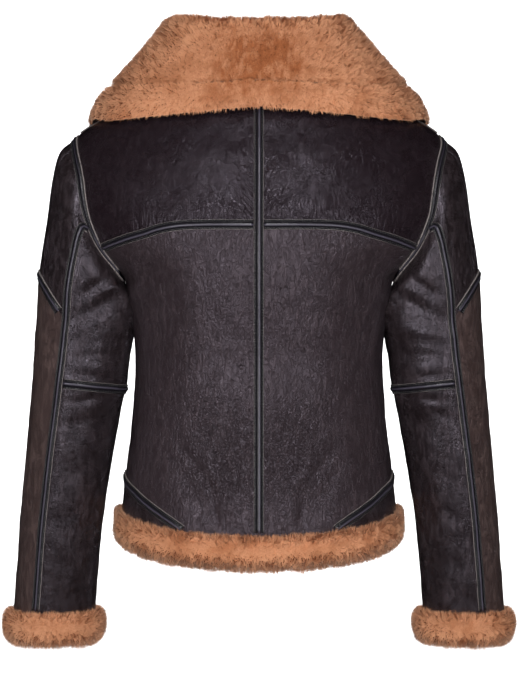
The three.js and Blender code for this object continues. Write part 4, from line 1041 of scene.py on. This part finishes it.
def tape_finish():
    """Tape leather: raw pale edges, sewn grooves darkened with painted shade, a painted highlight along the
    ridge, and pinched stitches.
    """
    f = Finish("tape_leather", Specular_IOR_Level=0.45, Coat_Weight=0.1, Coat_Roughness=0.2)
    across, along = f.value("across"), f.value("along")
    out = f.math("ABSOLUTE", across)
    raw = f.math("MULTIPLY", f.span(out, 0.88, 0.96), f.noise((5, 5, 5), 3.0, 0.6))
    raw = f.span(raw, 0.2, 0.5)
    # Painted shade: the sewn grooves get a tone darker than the rest of the tape.
    groove = f.math("MULTIPLY", f.span(out, 0.5, 0.62), f.span(out, 0.76, 0.86, 1.0, 0.0))
    # Painted highlight: a paler, bluish tone along the ridge, a little off the tape's middle.
    ridge = f.span(f.math("ABSOLUTE", f.math("SUBTRACT", across, 0.10)), 0.0, 0.30, 1.0, 0.0)
    dark = f.mixed(ridge, (0.0055, 0.0045, 0.0065), (0.042, 0.037, 0.052))
    tone = f.mixed(groove, dark, (0.0025, 0.002, 0.0025))
    f.feed(f.shader.inputs["Base Color"], f.mixed(raw, tone, (0.13, 0.112, 0.108)))
    pinch = f.math("SINE", f.math("MULTIPLY", along, math.tau / STITCH_PITCH))
    pinch = f.math("MULTIPLY", pinch, f.span(out, 0.2, 0.55))
    height = f.total((pinch, 0.1), (f.noise((3, 3, 3), 3.0), 0.22), (f.noise((9, 9, 9), 2.0), 0.35))
    f.raised(height)
    f.feed(f.shader.inputs["Roughness"], f.mixed(raw, (0.33,) * 3, (0.75,) * 3))
    return f.material


# Root tones are far darker than tip tones: partly the wool's own paler tips, partly painted shade deep in the
# pile.
WOOL_TONES = {
    "root": (0.37, 0.145, 0.066),
    "tip": (0.66, 0.338, 0.190),
    "rust_root": (0.20, 0.058, 0.019),
    "rust_tip": (0.37, 0.125, 0.046),
}


def wool_finish(name, fibres):
    """Dyed wool pile: paler tips over darker roots, the roots' darkness partly painted shade deep in the pile;
    rust patches, and a soft sheen.
    """
    f = Finish(
        name, Roughness=0.82, Specular_IOR_Level=0.22,
        Sheen_Weight=0.25, Sheen_Roughness=0.45, Sheen_Tint=(1.0, 0.78, 0.60, 1.0),
    )
    patches = f.span(f.noise((34, 34, 34), 3.0, 0.6), 0.44, 0.68)
    middle = f.span(f.math("ABSOLUTE", f.x), 0.02, 0.085, 1.0, 0.0)
    low, high = f.span(f.z, -0.045, 0.0), f.span(f.z, 0.035, 0.06, 1.0, 0.0)
    crown = f.math("MULTIPLY", f.math("MULTIPLY", low, high), middle)
    flecks = f.span(f.noise((6, 6, 12), 3.0, 0.6), 0.36, 0.6, 0.35, 1.15)
    rust = f.math("MULTIPLY_ADD", f.math("MULTIPLY", crown, flecks), 0.85, f.math("MULTIPLY", patches, 0.55))
    rust = f.math("MINIMUM", rust, 1.0)
    # Fibres go from the dark root tone to the pale tip tone along their length, the dark end partly painted
    # shade.
    if fibres:
        tip, lock = f.math("POWER", f.value("tip"), 0.7), f.span(f.value("lock"), 0.0, 1.0, 0.6, 1.0)
        share = f.math("MULTIPLY", tip, lock)
    else:
        # The cores under the fibres take mostly the dark root tone: painted shade beneath the pile.
        share = f.math("MULTIPLY", f.noise((4, 4, 4), 3.0), 0.35)
    tan = f.mixed(share, WOOL_TONES["root"], WOOL_TONES["tip"])
    red = f.mixed(share, WOOL_TONES["rust_root"], WOOL_TONES["rust_tip"])
    f.feed(f.shader.inputs["Base Color"], f.mixed(rust, tan, red))
    if not fibres:
        f.raised(f.total((f.noise((2.5, 2.5, 2.5), 4.0, 0.7), 1.4), (f.noise((9, 9, 9), 3.0), 1.6)))
    return f.material


def plain_finish(name, tone, grain_mm, depth, **sockets):
    """A tone that varies with a fine grain."""
    f = Finish(name, **sockets)
    grain = f.noise((grain_mm,) * 3, 3.0, 0.6)
    darker, paler = (tuple(c * share for c in tone) for share in (0.7, 1.3))
    f.feed(f.shader.inputs["Base Color"], f.mixed(grain, darker, paler))
    f.raised(f.total((grain, depth)))
    return f.material


def zip_cloth_finish():
    """Woven tape: a fine herringbone of ribs."""
    f = Finish("zip_cloth", Roughness=0.85, Sheen_Weight=0.2)
    slant = f.math("MULTIPLY_ADD", f.math("ABSOLUTE", f.x), 1.0, f.z)
    ribs = f.math("SINE", f.math("MULTIPLY", slant, math.tau / 0.0011))
    tone = f.mixed(f.span(ribs, -1, 1), (0.008, 0.007, 0.007), (0.022, 0.018, 0.017))
    f.feed(f.shader.inputs["Base Color"], tone)
    f.raised(f.total((ribs, 0.12)))
    return f.material


leather = leather_finish(
    "leather_back", (0.0195, 0.0130, 0.0148), (0.030, 0.021, 0.0235), 0.34,
    crepe=1.05, pebble=0.5, shine=0.55,
)
yoke_leather = leather_finish(
    "leather_yoke", (0.0085, 0.0050, 0.0065), (0.012, 0.0078, 0.0096), 0.28,
    crepe=0.35, fan=2.2, pebble=0.12, pucker=1.4,
)
side_leather = leather_finish(
    "leather_sleeve", (0.0095, 0.0064, 0.0070), (0.024, 0.0175, 0.0195), 0.28,
    crepe=0.4, pebble=0.16, shine=0.7,
)
brown_leather = leather_finish(
    "leather_brown", (0.032, 0.0192, 0.0170), (0.056, 0.036, 0.032), 0.48,
    crepe=0.6, pebble=0.2,
)
tape_leather = tape_finish()
thread = plain_finish("thread", (0.010, 0.009, 0.011), 0.8, 0.1, Roughness=0.45, Sheen_Weight=0.2)
wool = wool_finish("wool", True)
# Cores under the fibres, in dark root tones: painted shade beneath the pile.
wool_root = wool_finish("wool_root", False)
pile_inside = plain_finish("clipped_wool", (0.42, 0.22, 0.12), 2.2, 1.6, Roughness=0.9, Sheen_Weight=0.3)
zip_cloth = zip_cloth_finish()
zip_metal = plain_finish("zip_metal", (0.30, 0.235, 0.13), 3.0, 0.02, Roughness=0.32, Metallic=1.0)

# The panels and tapes made so far
sheets = []


def yoke_seam():
    end_angle, end_z = armhole_on_torso(np.array(float(ARMHOLE_YOKE)))
    end_deg = math.degrees(end_angle)
    rows = table("deg z", *YOKE_SEAM, (end_deg, float(end_z)))
    return line(lambda deg: (np.radians(deg), smooth(rows, "deg", "z", deg)), 0, end_deg, 12)


def hip_height(deg):
    rows = table("deg z", (HIP_START, float(hem_height(math.radians(HIP_START)))), *HIP_SEAM)
    return smooth(rows, "deg", "z", deg)


def upright_line(angle, low, high, count):
    return line(lambda z: (angle, z), low, high, count)


def hem_line(start, stop, count):
    return line(lambda angle: (angle, hem_height(angle)), start, stop, count)


def armhole_line(start, stop):
    """The armhole on the torso between two of its stops."""
    def place(stop_at):
        return armhole_on_torso(np.interp(stop_at, STOPS["stop"], STOPS["deg"]))

    return line(place, start, stop, abs(stop - start))


def neck_line(start, stop, count):
    return line(neck_place, start, stop, count)


def zip_edge(z):
    return angle_at(ZIP_HALF, z, True)


HIP_COUNT = 7
shoulder_line = line(lambda k: (QUARTER, np.interp(k, np.arange(6), SHOULDER_SEAM)), 0, 5, 5)
hip_line = line(lambda deg: (np.radians(deg), hip_height(deg)), HIP_START, 90, HIP_COUNT)


def region(*sides):
    """Places over a region, from its sides: start, end, left and right."""
    return functools.partial(between, *sides)


def make_back(hand):
    seam = yoke_seam()
    neck = neck_line(0, NECK_SIDE, 7)
    middle_up = upright_line(0, seam[0][1], neck[0][1], 8)
    yoke = region(seam, chain(neck, shoulder_line), middle_up, armhole_line(STOP["yoke"], 0))
    panel("yoke", torso, yoke, hand, "", ["collar"], yoke_leather)

    hem = chain(hem_line(0, math.radians(HIP_START), 5), hip_line)
    middle = upright_line(0, hem[0][1], seam[0][1], 11)
    side_up = upright_line(QUARTER, hip_line[-1][1], UNDERARM_Z, 7)
    side = chain(side_up, armhole_line(STOP["underarm"], STOP["yoke"]))
    panel("back", torso, region(hem, seam, middle, side), hand, "right", ["yoke"], leather)

    cut, whole = int(round(HIP_CUT * DENSE)), HIP_COUNT * DENSE
    at = np.linspace(cut, whole, whole + 1)
    seam_above = np.stack([np.interp(at, np.arange(whole + 1), hip_line[:, k]) for k in (0, 1)], -1)
    seam_above[0] = hip_line[0] + (hip_line[DENSE] - hip_line[0]) * cut / DENSE
    under = np.stack([seam_above[:, 0], hem_height(seam_above[:, 0])], -1)
    tip = upright_line(seam_above[0, 0], under[0, 1], seam_above[0, 1], 2)
    end = upright_line(QUARTER, under[-1, 1], seam_above[-1, 1], 2)
    panel("hip", torso, region(under, seam_above, tip, end), hand, "right", ["back"], side_leather)

    tape("yoke_tape", torso, seam, TAPE_HALF + SEAM_GAP, ARMHOLE_TAPE_HALF + 2.4, hand)
    tape("hip_tape", torso, hip_line, 8, 1, hand)
    tape("shoulder_tape", torso, shoulder_line, 3, ARMHOLE_TAPE_HALF + 3, hand)
    return chain(middle, middle_up)


def make_front(hand):
    neck = neck_line(NECK_SIDE, 1, 11)
    side_up = upright_line(QUARTER, HEM["side"], UNDERARM_Z, 7)
    side = chain(side_up, armhole_line(STOP["underarm"], STOP["top"]))
    low = float(hem_height(math.pi))
    hem = hem_line(QUARTER, float(zip_edge(low)), 11)
    middle = line(lambda z: (zip_edge(z), z), low, neck[-1][1], 24)
    top = chain(shoulder_line[::-1], neck)
    front = functools.partial(picked, relaxed((hem, top, side, middle)))
    panel("front", torso, front, hand, "left", ["yoke"], yoke_leather, cell=FRONT_CELL)


def sleeve_share(deg, z):
    """The share of the sleeve's length where it reaches a height, at an angle round it."""
    low, high = np.zeros_like(deg), np.ones_like(deg)
    for _ in range(30):
        middle = (low + high) / 2
        above = sleeve_oval(deg, middle)[..., 2] > z
        low, high = np.where(above, middle, low), np.where(above, high, middle)
    return (low + high) / 2


def diagonal_share(deg):
    return sleeve_share(deg, DIAGONAL["outer_z"] - DIAGONAL["drop"] * (1 - np.cos(np.radians(deg))))


def elbow_share(deg):
    return sleeve_share(deg, ELBOW["z"] + ELBOW["tilt"] * np.cos(np.radians(deg)))


def crossing(rows, share_at):
    """Where a seam down the sleeve crosses one round it."""
    t = np.array(0.4)
    for _ in range(20):
        t = share_at(smooth(rows, "t", "deg", t))
    return float(t)


def down(rows, start, stop, count):
    """A seam down the sleeve, between two shares of its length."""
    return line(lambda t: (smooth(rows, "t", "deg", t), t), start, stop, count)


def ring(start, stop, count, share_at):
    """A line round the sleeve, between two angles."""
    return line(lambda deg: (deg, share_at(deg)), start, stop, count)


def rim(start, stop):
    """The armhole on the sleeve between two of its stops."""
    return line(lambda k: (np.interp(k, STOPS["stop"], STOPS["deg"]), 0 * k), start, stop, stop - start)


def turned(places):
    """The same places, counted from one turn before."""
    return places - [360, 0]


def deg_at(rows, t):
    return float(smooth(rows, "t", "deg", t))


def make_sleeve(hand):
    cap, patch, lower = SLEEVE_ROWS["cap"], SLEEVE_ROWS["patch"], SLEEVE_ROWS["lower"]

    back = {"diagonal": crossing(BACK_SEAM, diagonal_share), "elbow": crossing(BACK_SEAM, elbow_share)}
    front = {"diagonal": crossing(FRONT_SEAM, diagonal_share), "elbow": crossing(FRONT_SEAM, elbow_share)}
    cap_end = crossing(CAP_SEAM, diagonal_share)
    cap_deg = deg_at(CAP_SEAM, cap_end)

    back_upper = down(BACK_SEAM, 0, back["diagonal"], cap)
    back_patch = down(BACK_SEAM, back["diagonal"], back["elbow"], patch)
    back_lower = down(BACK_SEAM, back["elbow"], 1, lower)
    front_upper = down(FRONT_SEAM, 0, front["diagonal"], cap)
    front_patch = down(FRONT_SEAM, front["diagonal"], front["elbow"], patch)
    front_lower = down(FRONT_SEAM, front["elbow"], 1, lower)
    cap_line = down(CAP_SEAM, 0, cap_end, cap)

    diagonal_back = ring(cap_deg, deg_at(BACK_SEAM, back["diagonal"]), 5, diagonal_share)
    diagonal_front = ring(deg_at(FRONT_SEAM, front["diagonal"]) - 360, cap_deg, 9, diagonal_share)
    diagonal = chain(diagonal_front, diagonal_back)
    elbow = ring(deg_at(BACK_SEAM, back["elbow"]), deg_at(FRONT_SEAM, front["elbow"]), 10, elbow_share)
    cuff_outer = ring(deg_at(FRONT_SEAM, 1) - 360, deg_at(BACK_SEAM, 1), 14, np.ones_like)
    cuff_under = ring(deg_at(BACK_SEAM, 1), deg_at(FRONT_SEAM, 1), 10, np.ones_like)
    cap_front_start = chain(turned(rim(STOP["front_seam"], STOP["top"])), rim(0, STOP["cap"]))

    part = region(rim(STOP["cap"], STOP["back_seam"]), diagonal_back, cap_line, back_upper)
    panel("sleeve_cap_back", sleeve, part, hand, "left", ["yoke"], side_leather)
    part = region(cap_front_start, diagonal_front, turned(front_upper), cap_line)
    panel("sleeve_cap_front", sleeve, part, hand, "left right", ["front"], side_leather)
    outer_front, outer_back = turned(chain(front_patch, front_lower)), chain(back_patch, back_lower)
    part = region(diagonal, cuff_outer, outer_front, outer_back)
    panel("sleeve_outer", sleeve, part, hand, "left", ["sleeve_cap_back"], brown_leather)
    under_back, under_front = chain(back_upper, back_patch), chain(front_upper, front_patch)
    part = region(rim(STOP["back_seam"], STOP["front_seam"]), elbow, under_back, under_front)
    panel("sleeve_under_upper", sleeve, part, hand, "right start", ["back"], side_leather)
    part = region(elbow, cuff_under, back_lower, front_lower)
    panel("sleeve_under_lower", sleeve, part, hand, "right", ["sleeve_under_upper"], side_leather)

    whole = chain(back_upper, back_patch, back_lower)
    tape("sleeve_tape", sleeve, whole, ARMHOLE_TAPE_HALF + 2, 8, hand, TAPE_HALF * 0.85)
    tape("diagonal_tape", sleeve, diagonal, 2, 15, hand)
    tape("elbow_tape", sleeve, elbow, TAPE_HALF + SEAM_GAP, 2, hand)


def make_rolls():
    """The wool bands, each with its fibres, its length and the panels that it is sewn to."""
    start = QUARTER + SEAM_GAP / HEM["half_width"]
    end = float(angle_at(HEM_FRONT_HALF, float(hem_height(math.pi)), True))
    back = roll("hem_back", hem_edge, HEM_ROLL, -QUARTER, QUARTER, 1, 11)
    bands = [(*back, ["back_right", "back_left"])]
    for number, (hand, side) in enumerate(SIDES.items()):
        front = roll(f"hem_front_{hand}", hem_edge, HEM_ROLL, start, end, side, 21 + number)
        cuff = roll(f"cuff_{hand}", cuff_edge, CUFF_ROLL, 0, 360, side, 31 + number, joined=True)
        bands += [(*front, [f"front_{hand}"]), (*cuff, [f"sleeve_outer_{hand}"])]
    return bands


def make_collar():
    main = collar_strip("collar", 0, COLLAR_SEAM - COLLAR_SEAM_HALF, 34, inner_pile, 51)
    edge = collar_strip("collar_edge", COLLAR_SEAM + COLLAR_SEAM_HALF, 1, 12, full_pile, 61)
    return main, edge


def make_teeth():
    """Two rows of zip teeth that lock into each other."""
    half = ZIP_TOOTH["half"]
    z = np.arange(ZIP_TOOTH["low"], ZIP_TOOTH["high"], ZIP_TOOTH["pitch"] / 2)
    turn = np.where(np.arange(len(z)) % 2 == 0, 1, -1)
    point, _, _, normal = torso[1].frame(np.full_like(z, math.pi), z)
    box = np.array([(a, b, c) for a in (-0.5, 2.9) for b in (-half, half) for c in (-1.3, 0.9)])
    box[4:, 1] *= ZIP_TOOTH["taper"]
    faces = [(0, 1, 3, 2), (4, 6, 7, 5), (0, 4, 5, 1), (2, 3, 7, 6), (0, 2, 6, 4), (1, 5, 7, 3)]
    up = unit(np.cross(normal, [1.0, 0, 0]) * -1)
    points = point[:, None] + np.stack([
        (box[:, 0] - 1.0)[None] * turn[:, None],
        box[:, 1][None] * up[:, 1:2] + box[:, 2][None] * normal[:, 1:2],
        box[:, 1][None] * up[:, 2:3] + box[:, 2][None] * normal[:, 2:3],
    ], -1)
    points[..., 0] -= point[:, None, 0]
    index = np.array(faces)[None] + (np.arange(len(z)) * len(box))[:, None, None]
    index = np.where((turn < 0)[:, None, None], index[..., ::-1], index)
    teeth = joined_mesh("zip_teeth", points.reshape(-1, 3), index.reshape(-1, 4), [zip_metal])
    teeth.data.polygons.foreach_set("use_smooth", np.zeros(len(teeth.data.polygons), bool))


for hand in SIDES:
    middle_line = make_back(hand)
    make_front(hand)
    make_sleeve(hand)
    armhole_tape(hand)
tape("centre_back_tape", torso, middle_line, 7, 2)
wool_bands = make_rolls()
collar_pieces = make_collar()
make_teeth()

zip_finishes = {
    "zip_tape_right": zip_cloth,
    "zip_tape_left": zip_cloth,
    "zip_slider": zip_metal,
    "zip_pull": zip_metal,
}
for node, material in zip_finishes.items():
    for slot in bpy.data.objects[node].material_slots:
        slot.material = material

# What lies on each panel
TAPES_ON = {
    "yoke": ["yoke_tape", "shoulder_tape"],
    "hip": ["hip_tape"],
    "sleeve_cap_back": ["armhole_tape", "sleeve_tape"],
    "sleeve_outer": ["diagonal_tape"],
    "sleeve_under_lower": ["elbow_tape"],
}
for piece, kind, hand, flat, area, carried in sheets:
    names = [f"{tape_name}_{hand}" for tape_name in TAPES_ON.get(kind, [])]
    names += ["centre_back_tape"] if (kind, hand) == ("back", "right") else []


def backdrop():
    """A pale floor that curves up into a wall."""
    bm, u, v = grid_mesh(12, 60)
    floor_z, wall_y, bend, straight, whole = -0.80, 4.4, 1.2, 6.2, 10.2
    run = v * whole
    turn = np.clip((run - straight) / bend, 0, QUARTER)
    y = wall_y - bend - straight + np.minimum(run, straight) + bend * np.sin(turn)
    z = floor_z + bend * (1 - np.cos(turn)) + np.maximum(0, run - straight - bend * QUARTER)
    for vert, x, y_at, z_at in zip(bm.verts, (u - 0.5) * 9, y, z):
        vert.co = (x, y_at, z_at)
    for face in bm.faces:
        face.smooth = True
    mesh = bpy.data.meshes.new("backdrop")
    bm.to_mesh(mesh)
    bm.free()
    paper = Finish("paper", Base_Color=(0.88, 0.88, 0.88, 1.0), Roughness=0.95)
    sweep = link(mesh, "backdrop", [paper.material])
    sweep.visible_glossy = False


def softbox(name, place, target, size, power, gloss=True):
    light = bpy.data.lights.new(name, "AREA")
    light.shape = "RECTANGLE"
    light.size, light.size_y = size
    light.energy = power
    lamp = bpy.data.objects.new(name, light)
    bpy.context.scene.collection.objects.link(lamp)
    lamp.location = place
    lamp.visible_glossy = gloss
    away = (np.array(target) - np.array(place)).tolist()
    lamp.rotation_euler = Vector(away).to_track_quat("-Z", "Y").to_euler()


def studio():
    """Broad light that only lights, and smaller lights that also shine back from the leather."""
    world = bpy.data.worlds.new("studio")
    world.use_nodes = True
    world.node_tree.nodes["Background"].inputs["Color"].default_value = (0.95, 0.97, 1.0, 1.0)
    world.node_tree.nodes["Background"].inputs["Strength"].default_value = 0.27
    bpy.context.scene.world = world
    world.cycles_visibility.glossy = False
    middle = (0.0, 0.0, -0.30)
    softbox("wash", (0.0, -2.7, -0.1), middle, (1.6, 1.6), 58, gloss=False)
    softbox("low", (0.0, -2.2, -1.0), middle, (1.8, 0.5), 32, gloss=False)
    softbox("front", (0.0, -2.45, 1.05), (0.0, 0.0, -0.2), (0.22, 0.40), 19)
    softbox("band", (0.0, -2.6, -0.30), middle, (0.5, 1.2), 5.5)
    softbox("key", (-1.15, -2.4, -0.25), middle, (0.4, 1.0), 13)
    softbox("fill", (1.15, -2.4, -0.25), middle, (0.4, 1.0), 10)
    softbox("top", (0.0, -0.2, 1.9), middle, (1.8, 1.0), 8, gloss=False)
    for hand, side in SIDES.items():
        softbox(f"rear_{hand}", (1.3 * side, 1.8, 0.6), (0.0, 0.2, -0.3), (1.0, 1.6), 10, gloss=False)
    softbox("paper_light", (0.0, 1.9, 2.3), (0.0, 4.4, 0.0), (3.0, 0.8), 260, gloss=False)


def camera():
    """Square to the back, and framed as the photograph is."""
    data = bpy.data.cameras.new("camera")
    data.sensor_width = 36.0
    data.lens = data.sensor_width * CAMERA_AWAY / (PHOTO["height"] * PHOTO_MM * MM)
    eye = bpy.data.objects.new("camera", data)
    bpy.context.scene.collection.objects.link(eye)
    right = (PHOTO["width"] / 2 - PHOTO["axis_x"]) * PHOTO_MM * MM
    up = (PHOTO["neck_y"] - PHOTO["height"] / 2) * PHOTO_MM * MM
    eye.location = (right, -CAMERA_AWAY, up)
    eye.rotation_euler = (math.radians(90), 0, 0)
    bpy.context.scene.camera = eye


backdrop()
studio()
camera()
bpy.context.scene.view_settings.view_transform = "Standard"
